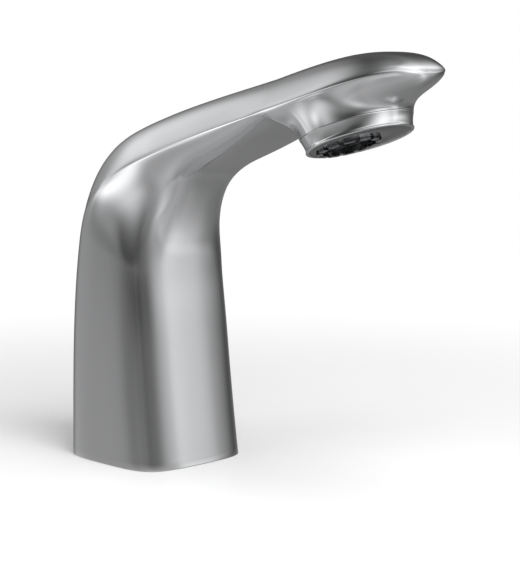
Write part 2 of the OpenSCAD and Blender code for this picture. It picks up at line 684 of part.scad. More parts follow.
module diaphragm() {
  color([0.1, 0.1, 0.12]) at_valve() rotate_extrude() polygon([
    [disc_r + 0.3, rim_z - 0.5], [8, rim_z - 0.5], [9, rim_z - 1.2], [10, rim_z],
    [13.6, rim_z], [13.6, rim_z + 0.8], [9.6, rim_z + 0.8], [8.8, rim_z - 0.2],
    [8, rim_z + 0.4], [disc_r + 0.3, rim_z + 0.4]]);
}
module valve_disc() {
  color([0.3, 0.3, 0.32]) at_valve() difference() {
    union() {
      translate([0, 0, seat_z + 0.02]) cylinder(r = disc_r, h = 3);
      translate([0, 0, seat_z - 2.5]) cylinder(r = 2.4, h = 4);
      translate([0, 0, seat_z + 2]) cylinder(r = 2, h = 2.2);
    }
    translate([0, 0, seat_z - 4]) cylinder(r = 0.5, h = 10);
  }
}
module bonnet() {
  color([0.25, 0.25, 0.27]) at_valve() difference() {
    union() {
      translate([0, 0, rim_z + 0.8]) cylinder(r = 14.5, h = bonnet_z - rim_z - 0.8);
      translate([0, 0, rim_z]) tube_piece(14.5, 1, 13.7);
    }
    translate([0, 0, rim_z + 0.5]) cylinder(r = 9.6, h = 4);
    translate([0, 0, rim_z + 4]) cylinder(r = 0.6, h = 10);
    translate([0, 0, bonnet_z - 1.5]) cylinder(r = core_r + slip / 2, h = 3);
  }
}
pilot_z = bonnet_z - 1.5;
module core_tube() {
  color("gold") at_valve() union() {
    translate([0, 0, pilot_z]) tube_piece(core_r, core_top - pilot_z, plunger_r + run);
    translate([0, 0, pilot_z]) tube_piece(core_r, 0.6, 0.6);
    translate([0, 0, core_top - 3.5]) cylinder(r = core_r - 0.1, h = 3.5);
  }
}
plunger_z = pilot_z + 0.62;
plunger_top = plunger_z + 10;
module plunger() {
  color("lightgray") at_valve() difference() {
    translate([0, 0, plunger_z]) cylinder(r = plunger_r, h = plunger_top - plunger_z);
    translate([0, 0, plunger_top - 2]) cylinder(r = 2.3, h = 3);
    for (a = [0, 180]) rotate([0, 0, a])
      translate([plunger_r - 0.5, -0.4, plunger_z - 1]) cube([1, 0.8, 14]);
  }
}
module plunger_spring() {
  color("silver") at_valve() coil_spring(1.85, 0.4, plunger_top - 1.95, core_top - 3.55, 7);
}
module coil() {
  color([0.15, 0.15, 0.17]) at_valve() union() {
    translate([0, 0, bonnet_z + 1.2]) tube_piece(9.6, 17.6, core_r + slip);
    translate([9, -3, bonnet_z + 12]) cube([2.6, 6, 5]);
  }
}
module coil_yoke() {
  color("slategray") at_valve() union() {
    difference() {
      translate([0, 0, bonnet_z]) cylinder(r = 11.4, h = 1.2);
      translate([0, 0, bonnet_z - 1]) cylinder(r = core_r + slip, h = 4);
    }
    difference() {
      translate([0, 0, bonnet_z + 18.8]) cylinder(r = 11.4, h = 1.2);
      translate([0, 0, bonnet_z + 18]) cylinder(r = core_r + slip, h = 4);
    }
    // cheeks that join the two plates
    intersection() {
      translate([0, 0, bonnet_z]) tube_piece(11.4, 20, 9.8);
      for (s = [-1, 1]) translate([-5, s * 10 - 3, bonnet_z]) cube([10, 6, 20]);
    }
  }
}

// Power and control
module cell_solid() {
  cylinder(r = cell_d / 2, h = cell_length - 1);
  cylinder(r = 3, h = cell_length);
}
module battery_cells() {
  color([0.3, 0.42, 0.6]) for (s = [-1, 1]) translate([cell_x, s * cell_y, cell_z + 1.4]) cell_solid();
}
holder_t = 1.2;
holder_h = cell_length + 4;
module cell_holder() {
  color([0.12, 0.12, 0.13]) difference() {
    union() {
      // back sheet, floor, lid and the rib between the cells
      translate([cell_x - cell_d / 2 - holder_t - 0.2, -15, cell_z - 1.2]) cube([holder_t, 30, holder_h]);
      intersection() {
        union() {
          translate([cell_x - cell_d / 2 - 1, -18, cell_z - 1.2]) cube([cell_d - 1, 36, holder_t]);
          translate([cell_x - cell_d / 2 - 1, -18, cell_z - 1.2 + holder_h - holder_t])
            cube([cell_d - 1, 36, holder_t]);
        }
        translate([0, 0, cell_z - 3]) for (s = [-1, 1]) {
          translate([cell_x, s * cell_y, 0]) cylinder(r = cell_d / 2, h = holder_h + 6);
          translate([cell_x - cell_d / 2 - 1, -9, 0]) cube([cell_d - 4, 18, holder_h + 6]);
        }
      }
      translate([cell_x - cell_d / 2 - 0.6, -1.2, cell_z - 1.2]) cube([4, 2.4, holder_h]);
    }
    // way for the sensor's lead
    translate([lead_x0 - 1, lead_y - 1.8, 94]) cube([8, 3.6, 20]);
    for (s = [-1, 1]) translate([cell_x, s * cell_y, cell_z])
      cylinder(r = cell_d / 2 + 0.1, h = holder_h - 2.4);
    translate([tube_x, 0, cell_z - 5]) cylinder(r = tube_r + 0.6, h = holder_h + 9);
  }
}
module cell_contacts() {
  color("gold") union() for (s = [-1, 1]) translate([cell_x, s * cell_y, 0]) {
    translate([0, 0, cell_z + 0.05]) cylinder(r = 4, h = 0.4);
    translate([0, 0, cell_z + 0.4]) cylinder(r = 1.6, h = 0.95);
    translate([0, 0, cell_z + 1.4 + cell_length + 0.05]) cylinder(r = 4, h = holder_h - 3.9 - cell_length);
  }
}
board_x = cell_x - cell_d / 2 - holder_t - 0.2;
module control_board() {
  color([0.1, 0.35, 0.2]) union() {
    translate([board_x - 1.5, -11, cell_z + 1]) cube([1.5, 22, 30]);
    translate([board_x - 3, -4, cell_z + 12]) cube([1.6, 8, 8]);
    translate([board_x - 2.6, -9, cell_z + 4]) cube([1.2, 4, 3]);
    translate([board_x - 2.6, 4, cell_z + 4]) cube([1.2, 5, 2.4]);
    translate([board_x - 2.4, 3, cell_z + 24]) cube([1, 4, 6]);
  }
}

body();
collar();
face_cover();
nozzle_carrier();
carrier_screws();
carrier_seal();
aerator_housing();
aerator_core();
aerator_gasket();
sensor_board();
ir_emitter();
ir_receiver();
sensor_lead();
water_tube();
base_plate();
base_screws();
base_gasket();
lead_grommet();
inlet_filter();
check_housing();
check_poppet();
check_spring();
valve_block();
inlet_seal();
diaphragm();
valve_disc();
bonnet();
core_tube();
plunger();
plunger_spring();
coil();
coil_yoke();
battery_cells();
cell_holder();
cell_contacts();
control_board();
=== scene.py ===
"""Sensor tap: the finished look of the casting, its outlet and what is inside."""
import json
import math

import bmesh
import bpy
import numpy as np
from mathutils import Matrix, Vector, kdtree

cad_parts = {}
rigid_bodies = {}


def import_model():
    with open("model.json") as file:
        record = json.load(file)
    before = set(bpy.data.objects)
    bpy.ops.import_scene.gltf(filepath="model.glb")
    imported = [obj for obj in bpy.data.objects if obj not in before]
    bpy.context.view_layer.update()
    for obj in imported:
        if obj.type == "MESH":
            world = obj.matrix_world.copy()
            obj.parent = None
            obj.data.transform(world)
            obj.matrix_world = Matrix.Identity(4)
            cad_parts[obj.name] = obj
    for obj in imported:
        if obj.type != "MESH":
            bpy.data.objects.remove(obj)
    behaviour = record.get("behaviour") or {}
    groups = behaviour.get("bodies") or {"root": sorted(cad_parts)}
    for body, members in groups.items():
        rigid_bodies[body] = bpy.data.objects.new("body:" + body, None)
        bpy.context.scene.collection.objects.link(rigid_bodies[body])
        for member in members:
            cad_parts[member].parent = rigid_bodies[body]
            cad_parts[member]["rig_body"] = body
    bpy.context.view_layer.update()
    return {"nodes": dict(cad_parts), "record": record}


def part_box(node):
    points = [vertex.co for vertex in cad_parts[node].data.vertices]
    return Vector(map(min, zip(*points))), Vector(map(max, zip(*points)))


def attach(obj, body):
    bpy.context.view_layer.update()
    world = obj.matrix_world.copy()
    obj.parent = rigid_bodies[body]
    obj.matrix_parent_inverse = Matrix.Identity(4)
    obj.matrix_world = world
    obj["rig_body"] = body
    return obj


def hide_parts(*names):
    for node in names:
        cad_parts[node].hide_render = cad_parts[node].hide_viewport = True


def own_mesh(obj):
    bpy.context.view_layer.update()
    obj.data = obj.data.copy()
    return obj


bl_info = {
    "name": "Sensor tap",
    "version": (1, 0, 0),
    "blender": (4, 5, 0),
    "location": "3D View > Sidebar > Sensor tap",
    "description": "Builds the casting, outlet, inner pieces, finishes and stage of a sensor tap",
    "category": "Object",
}

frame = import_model()
MM = 0.001

# Form of the casting, in millimetres: x, z, lean of the section, distance to
# the back or top, to the front or underside, to the crease, and a share of
# the foot's and of the arm's half width
STATIONS = (
    (0, 0, 0, 28, 29, 23, 1.0, 0.0),
    (0, 30, 2, 28, 25, 21, 0.8, 0.2),
    (0, 60, 7, 27.5, 23, 19.5, 0.5, 0.5),
    (0.5, 85, 19, 25, 20, 15.5, 0.2, 0.8),
    (3.5, 103.5, 31, 24.5, 20, 7, 0, 1),
    (15.5, 118, 35, 18.5, 16.5, 6.5, 0, 1),
    (33, 130, 53, 13.5, 11.5, -2, 0, 1),
    (60, 136, 69, 12.5, 10, 0, 0, 1),
    (83.5, 145, 76, 10, 6.5, -2.8, 0, 1),
)
WIDER = (0, 0, 0, 0, 0, 0, 0, 0.25, 0.5)
CORNER = 0.94
SIDE_K = (3 * CORNER + 4) / 8
BLEND_FROM, BLEND_SPAN = 0.34, 0.4
CROWN_FLAT, EDGE_IN, EDGE_UP = 0.6, 0.4, 0.74
KEEL_W, KEEL_H = 0.66, 0.12
FLARE, LIP = math.radians(42.6), 0.72
CROWN_RUN, EDGE_RUN = 39, 24
# Recess over the collar's seam and how far the hollow goes up the rails
RECESS_R, RECESS_H, HOLLOW_END = 18.7, 8.5, 0.97
# Heights of the slotted ring in the outlet: teeth, slots, shelf and top
TOOTH_END, SLOT_END, SHELF, RING_TOP = -0.6, 1.0, 2.4, 8.3
# Springs: joint, mean radius, wire and turns, and the share of a turn that lies flat
SPRINGS = {
    "check_spring": ("check_poppet_lift", 3.0, 0.5, 6.5),
    "plunger_spring": ("plunger_lift", 1.85, 0.4, 8.5),
}
FLAT_TURN = 0.75


def length(label, about, value, **more):
    return bpy.props.FloatProperty(
        name=label, description=about, default=value, unit="LENGTH", precision=5, **more
    )


def share(label, about, value, **more):
    return bpy.props.FloatProperty(
        name=label, description=about, default=value, min=0, max=1, subtype="FACTOR", **more
    )


def colour(label, about, value):
    return bpy.props.FloatVectorProperty(
        name=label, description=about, default=value, size=3, min=0, max=1, subtype="COLOR"
    )


def count(label, about, value, low=1):
    return bpy.props.IntProperty(name=label, description=about, default=value, min=low)


class TapBodySizes(bpy.types.PropertyGroup):
    """Sizes of the casting"""

    spout_reach: length("Reach", "Base centre to outlet centre", 0.1135)
    outlet_height: length("Outlet height", "Deck to the middle of the outlet face", 0.132)
    base_length: length("Foot length", "Front to back of the foot", 0.057)
    base_width: length("Foot width", "Side to side of the foot", 0.056)
    arm_width: length("Arm width", "Side to side of the arm at its crease", 0.043)
    wall: length("Wall", "Wall of the casting", 0.003)
    nose_overhang: length("Nose overhang", "Outlet centre to the tip of the nose", 0.0335)
    nose_rise: length("Nose rise", "Outlet face to the tip of the nose", 0.025)
    outlet_tilt: bpy.props.FloatProperty(
        name="Outlet tilt",
        description="Lean of the outlet axis away from straight down",
        default=math.radians(19.5),
        subtype="ANGLE",
    )
    crease_zone: length("Crease zone", "How far the rounding of the crease reaches", 0.0019)
    crease_passes: count("Crease passes", "How strongly the crease is rounded", 14)
    tip_zone: length("Tip zone", "How far the rounding of the nose's tip reaches", 0.016)
    tip_radius: length("Tip radius", "Reach of the rounding at the tip itself", 0.0014)
    rows_along: count("Rows along", "Rows of faces along column and arm", 168, 20)
    span_quads: count("Faces a span", "Faces across each of the eight spans of a section", 22, 4)
    nose_rows: count("Nose rows", "Rows of faces along the nose", 50, 8)
    neck_rows: count("Neck rows", "Rows of faces down the neck", 30, 6)


class TapOutletSizes(bpy.types.PropertyGroup):
    """Sizes of the outlet"""

    collar_d: length("Collar diameter", "Outside diameter at the lower rim", 0.04)
    collar_height: length("Collar height", "Height of the collar", 0.0055)
    aerator_d: length("Aerator diameter", "Opening for the flow regulator", 0.024)
    aerator_offset: length("Aerator offset", "How far the regulator sits behind the centre", 0.0058)
    aerator_slots: count("Aerator slots", "Slots in the regulator's rim", 12)
    turned_steps: count("Turned steps", "Faces round a turned piece", 180, 24)


class TapFinishes(bpy.types.PropertyGroup):
    """Colours and gloss of the finishes"""

    chrome: colour("Chrome", "Plated casting", (0.72, 0.725, 0.735))
    chrome_rough: share("Chrome roughness", "How soft the casting's reflections are", 0.13)
    collar_chrome: colour("Collar chrome", "Plated, turned collar", (0.72, 0.725, 0.735))
    collar_rough: share("Collar roughness", "How soft the collar's reflections are", 0.1)
    # The ring's chrome is made darker than the casting's: its dark tone is painted shade from
    # inside the bore
    ring_chrome_shaded: colour("Ring chrome", "Plated, slotted ring of the flow regulator",
                        (0.34, 0.345, 0.355))
    cover: colour("Face cover", "Smoked cover over the sensor", (0.035, 0.036, 0.04))
    carrier: colour("Carrier", "Grey moulded carrier", (0.3, 0.31, 0.32))
    grid: colour("Grid", "Moulded grid of the flow regulator", (0.022, 0.023, 0.025))
    steel: colour("Steel", "Stainless screws, springs and yoke", (0.62, 0.62, 0.63))
    rubber: colour("Rubber", "Seals and grommet", (0.03, 0.03, 0.031))
    board: colour("Board", "Coated circuit board", (0.03, 0.2, 0.08))
    chip: colour("Chips", "Moulded chips and plugs", (0.03, 0.03, 0.034))
    copper: colour("Pads", "Tinned and gilded pads", (0.78, 0.62, 0.3))
    lens_clear: colour("Clear lens", "Bluish epoxy", (0.5, 0.56, 0.68))
    lens_dark: colour("Dark lens", "Infrared-clear epoxy", (0.06, 0.05, 0.08))
    lead: colour("Lead", "Jacket of the sensor's lead", (0.045, 0.045, 0.05))
    tube: colour("Tube", "Semi-clear hose", (0.8, 0.82, 0.84))
    brass: colour("Brass", "Machined brass", (0.72, 0.56, 0.3))
    white_plastic: colour("White plastic", "Moulded valve cartridge and strainer", (0.8, 0.8, 0.76))
    disc: colour("Disc", "Grey moulded discs", (0.26, 0.26, 0.28))
    bonnet: colour("Bonnet", "Glass-filled cap", (0.1, 0.1, 0.11))
    coil: colour("Coil", "Overmoulded winding", (0.045, 0.045, 0.05))
    sleeve: colour("Cell sleeve", "Shrunk sleeve of a battery cell", (0.12, 0.24, 0.45))
    holder: colour("Cell holder", "Moulded holder", (0.05, 0.05, 0.055))
    contact: colour("Contacts", "Plated spring strip", (0.8, 0.64, 0.32))


class TapStage(bpy.types.PropertyGroup):
    """Floor, light and camera"""

    camera_at: bpy.props.FloatVectorProperty(
        name="Camera", description="Where the camera stands", default=(0.5314, -0.4571, 0.1607),
        subtype="TRANSLATION", size=3,
    )
    camera_yaw: bpy.props.FloatProperty(
        name="Yaw", description="Turn of the camera to its left", default=math.radians(45.75),
        subtype="ANGLE"
    )
    camera_pitch: bpy.props.FloatProperty(
        name="Pitch", description="How far the camera looks down", default=math.radians(7.39),
        subtype="ANGLE"
    )
    lens: bpy.props.FloatProperty(
        name="Lens", description="Focal length on a 36 mm long side", default=109.1,
        subtype="DISTANCE_CAMERA"
    )
    floor: colour("Floor", "Pale floor", (0.86, 0.86, 0.86))
    floor_glow: share("Floor glow", "Added to the floor as the eye sees it", 0.05)
    ambient: share("Ambient", "Even light from all round", 0.14)
    base_level: share("Base level", "Even part of the studio in the metal", 0.128)
    shade_depth: share("Shade depth", "How dark the floor round the foot is in the metal", 0.07)
    shade_reach: length("Shade reach", "Reach of that shade", 0.400)
    shade_at: bpy.props.FloatVectorProperty(
        name="Shade centre", description="Where that shade is deepest",
        default=(0.150, 0.100), size=2, unit="LENGTH",
    )
    white_from: length("White from", "Where the floor starts to fade to white", 0.1)
    white_to: length("White to", "Where the floor is plain white", 0.42)


class Value:
    """A shader socket that takes part in sums: + - * / and powers add Math nodes."""

    def __init__(self, shader, socket):
        self.shader = shader
        self.socket = socket

    def sum_with(self, operation, *others):
        return self.shader.node("ShaderNodeMath", {"operation": operation},
                                dict(enumerate((self, *others))))

    def reflected(self, operation, other):
        return self.shader.node("ShaderNodeMath", {"operation": operation}, {0: other, 1: self})

    def __add__(self, other):
        return self.sum_with("ADD", other)

    def __radd__(self, other):
        return self.reflected("ADD", other)

    def __sub__(self, other):
        return self.sum_with("SUBTRACT", other)

    def __rsub__(self, other):
        return self.reflected("SUBTRACT", other)

    def __mul__(self, other):
        return self.sum_with("MULTIPLY", other)

    def __rmul__(self, other):
        return self.reflected("MULTIPLY", other)

    def __truediv__(self, other):
        return self.sum_with("DIVIDE", other)

    def __rtruediv__(self, other):
        return self.reflected("DIVIDE", other)

    def __pow__(self, other):
        return self.sum_with("POWER", other)

    def __gt__(self, other):
        return self.sum_with("GREATER_THAN", other)

    def __lt__(self, other):
        return self.sum_with("LESS_THAN", other)

    def exp(self):
        return self.sum_with("EXPONENT")

    def clamped(self):
        return self.shader.node("ShaderNodeClamp", {}, {0: self})

    def at_most(self, other):
        return self.sum_with("MINIMUM", other)

    def at_least(self, other):
        return self.sum_with("MAXIMUM", other)

    def wrapped(self, step):
        return self.sum_with("FLOORED_MODULO", step)

    def size(self):
        return self.sum_with("ABSOLUTE")

    def ramp(self, low, high):
        """0 below low, 1 above high, smooth between."""
        return self.shader.node(
            "ShaderNodeMapRange", {"interpolation_type": "SMOOTHSTEP"},
            {0: self, 1: low, 2: high, 3: 0.0, 4: 1.0},
        )


class Shader:
    """A material (or the world) and its nodes."""

    def __init__(self, name, owner=None):
        self.material = owner or bpy.data.materials.new(name)
        self.material.use_nodes = True
        self.tree = self.material.node_tree
        self.tree.nodes.clear()

    def node(self, kind, settings=None, values=None, out=0):
        """Adds a node: its type, its settings, then the values or links of its sockets."""
        made = self.tree.nodes.new(kind)
        for key, value in (settings or {}).items():
            if key == "stops":
                ramp = made.color_ramp
                while len(ramp.elements) < len(value):
                    ramp.elements.new(0.5)
                for stop, (place, tone) in zip(ramp.elements, value):
                    stop.position = place
                    stop.color = tone
            else:
                setattr(made, key, value)
        for key, value in (values or {}).items():
            socket = made.inputs[key]
            if isinstance(value, Value):
                self.tree.links.new(value.socket, socket)
            elif isinstance(socket.default_value, (int, float)):
                socket.default_value = value
            else:
                full = tuple(value)
                want = len(socket.default_value)
                socket.default_value = full + (1.0,) * (want - len(full))
        return Value(self, made.outputs[out]) if made.outputs else made

    def place(self):
        """The point on the object, in millimetres of the shared frame."""
        at = self.node("ShaderNodeTexCoord", out="Object")
        return self.node("ShaderNodeVectorMath", {"operation": "SCALE"}, {0: at, "Scale": 1000.0})

    def parts(self, vector):
        split = self.node("ShaderNodeSeparateXYZ", {}, {0: vector})
        outputs = split.socket.node.outputs
        return tuple(Value(self, outputs[i]) for i in range(3))

    def noise(self, place, size, detail=2.0, rough=0.5):
        """Cloudy noise whose features are about size millimetres across, 0 to 1."""
        return self.node(
            "ShaderNodeTexNoise", {},
            {"Vector": place, "Scale": 1.0 / size, "Detail": detail, "Roughness": rough},
        )

    def stretched(self, place, scale):
        return self.node("ShaderNodeVectorMath", {"operation": "MULTIPLY"}, {0: place, 1: scale})

    def rotated(self, place, angle, centre=(0, 0, 0)):
        return self.node("ShaderNodeVectorRotate", {"rotation_type": "Y_AXIS"},
                         {0: place, "Center": centre, "Angle": angle})

    def blend(self, first, second, factor):
        return self.node("ShaderNodeMix", {"data_type": "RGBA"}, {0: factor, 6: first, 7: second},
                         out=2)

    def tint(self, tone, amount):
        """A colour made darker or lighter by a value near 1."""
        grey = self.node("ShaderNodeCombineColor", {}, {0: amount, 1: amount, 2: amount})
        return self.node(
            "ShaderNodeMix", {"data_type": "RGBA", "blend_type": "MULTIPLY"},
            {0: 1.0, 6: tone, 7: grey}, out=2
        )

    def bump(self, height, depth, strength=1.0):
        """A surface relief: height 0 to 1 is depth millimetres."""
        return self.node(
            "ShaderNodeBump", {}, {"Strength": strength, "Distance": depth * MM, "Height": height}
        )

    def light(self, level):
        """White light of a given strength."""
        return self.node("ShaderNodeEmission", {}, {0: (1.0, 1.0, 1.0), 1: level})

    def mixed(self, factor, first, second):
        return self.node("ShaderNodeMixShader", {}, {0: factor, 1: first, 2: second})

    def added(self, first, second):
        return self.node("ShaderNodeAddShader", {}, {0: first, 1: second})

    def output(self, surface, kind="Material"):
        self.node("ShaderNodeOutput" + kind, {}, {"Surface": surface})
        return self.material

    def finish(self, values):
        """Adds the surface shader with its constants and what varies."""
        return self.output(self.node("ShaderNodeBsdfPrincipled", {}, values))


def chrome_finish(name, tone, rough, turned=None):
    """Bright plate: faint clouding, fine haze and hairlines, a trace of orange peel."""
    s = Shader(name)
    place = s.place()
    cloud = s.noise(place, 38, 3)
    haze = s.noise(place, 9, 5, 0.6)
    wipe = s.noise(s.stretched(place, (1.0, 0.25, 0.12)), 1.6, 3, 0.55)
    hairline = s.noise(s.stretched(place, (1.0, 1.0, 0.05)), 0.35, 2).ramp(0.58, 0.8)
    level = (rough + (cloud - 0.5) * 0.03 + (haze - 0.5) * 0.03
             + (wipe - 0.5) * 0.02 + hairline * 0.012)
    peel = s.noise(place, 2.6, 2)
    relief = peel * 0.8 + hairline * 0.06
    if turned:
        along = s.parts(s.rotated(place, turned))[2]
        rings = s.noise(s.node("ShaderNodeCombineXYZ", {}, {2: along}), 0.12, 2)
        relief = relief + rings * 0.25
        level = level + (rings - 0.5) * 0.04
    shade = 1.0 + (cloud - 0.5) * 0.03 - hairline * 0.015
    return s.finish({
        "Base Color": s.tint(tone, shade),
        "Metallic": 1.0,
        "Roughness": level.clamped(),
        "Normal": s.bump(relief, 0.004, 0.5),
    })


def metal_finish(name, tone, rough, grain, stretch=(1.0, 1.0, 0.06), depth=0.01):
    """Drawn or machined metal: tool lines of a given size, dull spots and edge wear."""
    s = Shader(name)
    place = s.place()
    lines = s.noise(s.stretched(place, stretch), grain, 3, 0.6)
    spots = s.noise(place, 4.5, 4, 0.6)
    dull = spots.ramp(0.5, 0.75)
    worn = s.node("ShaderNodeNewGeometry", out="Pointiness").ramp(0.52, 0.6)
    return s.finish({
        "Base Color": s.tint(tone, 0.97 + (lines - 0.5) * 0.12 - dull * 0.1 + worn * 0.08),
        "Metallic": 1.0,
        "Roughness": (rough + (lines - 0.5) * 0.18 + dull * 0.1 - worn * 0.06).clamped(),
        "Normal": s.bump(lines, depth, 0.6),
    })


def moulded_finish(name, tone, rough, grain=0.35, depth=0.02, gloss=0.5, coat=0.0):
    """Moulded plastic: eroded grain, faint flow shading and dust in the gloss."""
    s = Shader(name)
    place = s.place()
    grains = s.noise(place, grain, 3, 0.65)
    flow = s.noise(s.stretched(place, (1.0, 1.0, 0.4)), 7, 3)
    rub = s.node("ShaderNodeNewGeometry", out="Pointiness").ramp(0.51, 0.62)
    return s.finish({
        "Base Color": s.tint(tone, 1.0 + (flow - 0.5) * 0.14 + (grains - 0.5) * 0.08 + rub * 0.12),
        "Roughness": (rough + (flow - 0.5) * 0.1 + (grains - 0.5) * 0.1).clamped(),
        "Specular IOR Level": gloss,
        "Coat Weight": coat,
        "Coat Roughness": 0.08,
        "Normal": s.bump(grains, depth, 0.5),
    })


def rubber_finish(name, tone):
    """Moulded rubber: matt, bloomed in patches, with a fine rub."""
    s = Shader(name)
    place = s.place()
    bloom = s.noise(place, 3.5, 4, 0.6).ramp(0.45, 0.8)
    pores = s.noise(place, 0.22, 2)
    return s.finish({
        "Base Color": s.blend(tone, [min(1.0, c * 2.2 + 0.02) for c in tone], bloom * 0.6),
        "Roughness": (0.62 + bloom * 0.2 + (pores - 0.5) * 0.1).clamped(),
        "Normal": s.bump(pores, 0.015, 0.6),
    })


def lens_finish(name, tone, clear):
    """Cast epoxy: clear or dark, glossy, with a faint swirl."""
    s = Shader(name)
    place = s.place()
    swirl = s.noise(place, 1.4, 3)
    return s.finish({
        "Base Color": s.tint(tone, 0.94 + swirl * 0.12),
        "Roughness": (0.06 + (swirl - 0.5) * 0.04).clamped(),
        "Transmission Weight": clear,
        "IOR": 1.54,
        "Normal": s.bump(swirl, 0.004, 0.4),
    })


def board_finish(name, board, chip, pad, chip_mask):
    """Circuit board: lacquer over tracks, pads, and dark moulded chips where chip_mask says."""
    s = Shader(name)
    place = s.place()
    x, y, z = s.parts(place)
    weave = s.noise(place, 0.5, 2)
    track_y = (y / 1.27).wrapped(1.0)
    track_z = ((z + s.noise(place, 6, 1) * 3) / 2.1).wrapped(1.0)
    track = (track_y.ramp(0.62, 0.68) * (1.0 - track_z.ramp(0.7, 0.8))).clamped()
    pads = ((((y / 1.27).wrapped(1.0) - 0.5).size() < 0.22)
            * (((z / 2.54).wrapped(1.0) - 0.5).size() < 0.12))
    mask = chip_mask(s, place)
    lacquer = s.blend(s.tint(board, 0.9 + weave * 0.2), [c * 1.5 + 0.02 for c in board], track)
    lacquer = s.blend(lacquer, pad, pads)
    base = s.blend(lacquer, s.tint(chip, 0.9 + s.noise(place, 0.4, 3) * 0.3), mask)
    return s.finish({
        "Base Color": base,
        "Metallic": pads * (1.0 - mask) * 0.9,
        "Roughness": (0.32 + mask * 0.25 + (weave - 0.5) * 0.08).clamped(),
        "Normal": s.bump(track * (1.0 - mask) + weave * 0.1, 0.03, 0.5),
    })


def sleeve_finish(name, tone, metal, low, high):
    """Battery sleeve: shrunk film with a lighter band, bare metal at both ends."""
    s = Shader(name)
    place = s.place()
    _, _, z = s.parts(place)
    wrinkle = s.noise(s.stretched(place, (1.0, 1.0, 0.3)), 1.2, 3)
    ends = ((z > high) + (z < low)).clamped()
    band = (z > high - 9.0) * (1.0 - ends)
    film = s.blend(s.tint(tone, 0.94 + wrinkle * 0.12), (0.72, 0.73, 0.74), band)
    return s.finish({
        "Base Color": s.blend(film, s.tint(metal, 0.9 + wrinkle * 0.15), ends),
        "Metallic": ends,
        "Roughness": (0.3 + (wrinkle - 0.5) * 0.12 + ends * 0.06).clamped(),
        "Normal": s.bump(wrinkle, 0.03, 0.3),
    })


def tube_finish(name, tone):
    """Semi-clear hose: milky, with faint drawing lines."""
    s = Shader(name)
    place = s.place()
    lines = s.noise(s.stretched(place, (0.15, 1.0, 0.15)), 0.5, 2)
    milk = s.noise(place, 12, 3)
    return s.finish({
        "Base Color": s.tint(tone, 0.92 + milk * 0.12 + (lines - 0.5) * 0.05),
        "Roughness": (0.3 + (milk - 0.5) * 0.12).clamped(),
        "Subsurface Weight": 0.15,
        "Normal": s.bump(lines, 0.01, 0.4),
    })


def smooth_step(x):
    x = np.clip(x, 0.0, 1.0)
    return x * x * (3 - 2 * x)


def cubic(a, b, c, d, s):
    """Points of a cubic curve from its four handles."""
    return (1 - s) ** 3 * a + 3 * s * (1 - s) ** 2 * b + 3 * s * s * (1 - s) * c + s ** 3 * d


def mirrored(points):
    return points * np.array([1.0, -1.0, 1.0])


def halved(a, b, c, d):
    """A cubic's handles cut in two at its middle, as seven points."""
    ab, bc, cd = (a + b) / 2, (b + c) / 2, (c + d) / 2
    left, right = (ab + bc) / 2, (bc + cd) / 2
    return [a, ab, left, (left + right) / 2, right, cd, d]


def unit(v):
    v = np.asarray(v, float)
    return v / np.linalg.norm(v)


class Skin:
    """A mesh in millimetres, gathered row by row and joined band by band."""

    def __init__(self):
        self.points = []
        self.faces = []

    def row(self, points):
        start = len(self.points)
        self.points.extend([tuple(p) for p in points])
        return list(range(start, len(self.points)))

    def band(self, a, b, closed=True):
        n = len(a)
        for i in range(n if closed else n - 1):
            j = (i + 1) % n
            face = []
            for v in (a[i], a[j], b[j], b[i]):
                if v not in face:
                    face.append(v)
            if len(face) > 2:
                self.faces.append(face)

    def cap(self, row):
        self.faces.append(list(row))

    def fan(self, row, centre):
        middle = self.row([centre])[0]
        for i, v in enumerate(row):
            self.faces.append([v, row[(i + 1) % len(row)], middle])

    def made(self, name, place=None, merge=1e-4, sharp=35, edit=None):
        """Turns the rows into an object whose points lie in the shared frame, in metres."""
        mesh = bpy.data.meshes.new(name)
        mesh.from_pydata(self.points, [], self.faces)
        bm = bmesh.new()
        bm.from_mesh(mesh)
        bmesh.ops.remove_doubles(bm, verts=bm.verts, dist=merge)
        if edit:
            edit(bm)
        bmesh.ops.recalc_face_normals(bm, faces=bm.faces)
        bm.transform(Matrix.Scale(MM, 4) @ (place or Matrix.Identity(4)))
        bm.to_mesh(mesh)
        bm.free()
        for face in mesh.polygons:
            face.use_smooth = True
        mesh.set_sharp_from_angle(angle=math.radians(sharp))
        piece = bpy.data.objects.new(name, mesh)
        bpy.context.scene.collection.objects.link(piece)
        return piece


def turned(name, profile, place=None, steps=180, closed=True, sharp=35):
    """A turned piece: profile is (radius, height) round the local Z axis."""
    skin = Skin()
    angles = np.linspace(0, 2 * np.pi, steps, endpoint=False)
    rows = [skin.row([(r * math.cos(a), r * math.sin(a), h) for a in angles]) for r, h in profile]
    pairs = list(zip(rows, rows[1:])) + ([(rows[-1], rows[0])] if closed else [])
    for a, b in pairs:
        skin.band(a, b)
    return skin.made(name, place, sharp=sharp)


def settle(piece, node, material):
    """Puts a piece on its node's body, gives it its finish and lets it stand for the node."""
    body = frame["nodes"][node]["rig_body"]
    piece.data.materials.clear()
    piece.data.materials.append(material)
    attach(piece, body)
    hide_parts(node)
    return piece


SLOT_OF = {p["node"]: p["material_slot"] for p in frame["record"]["subparts"]}


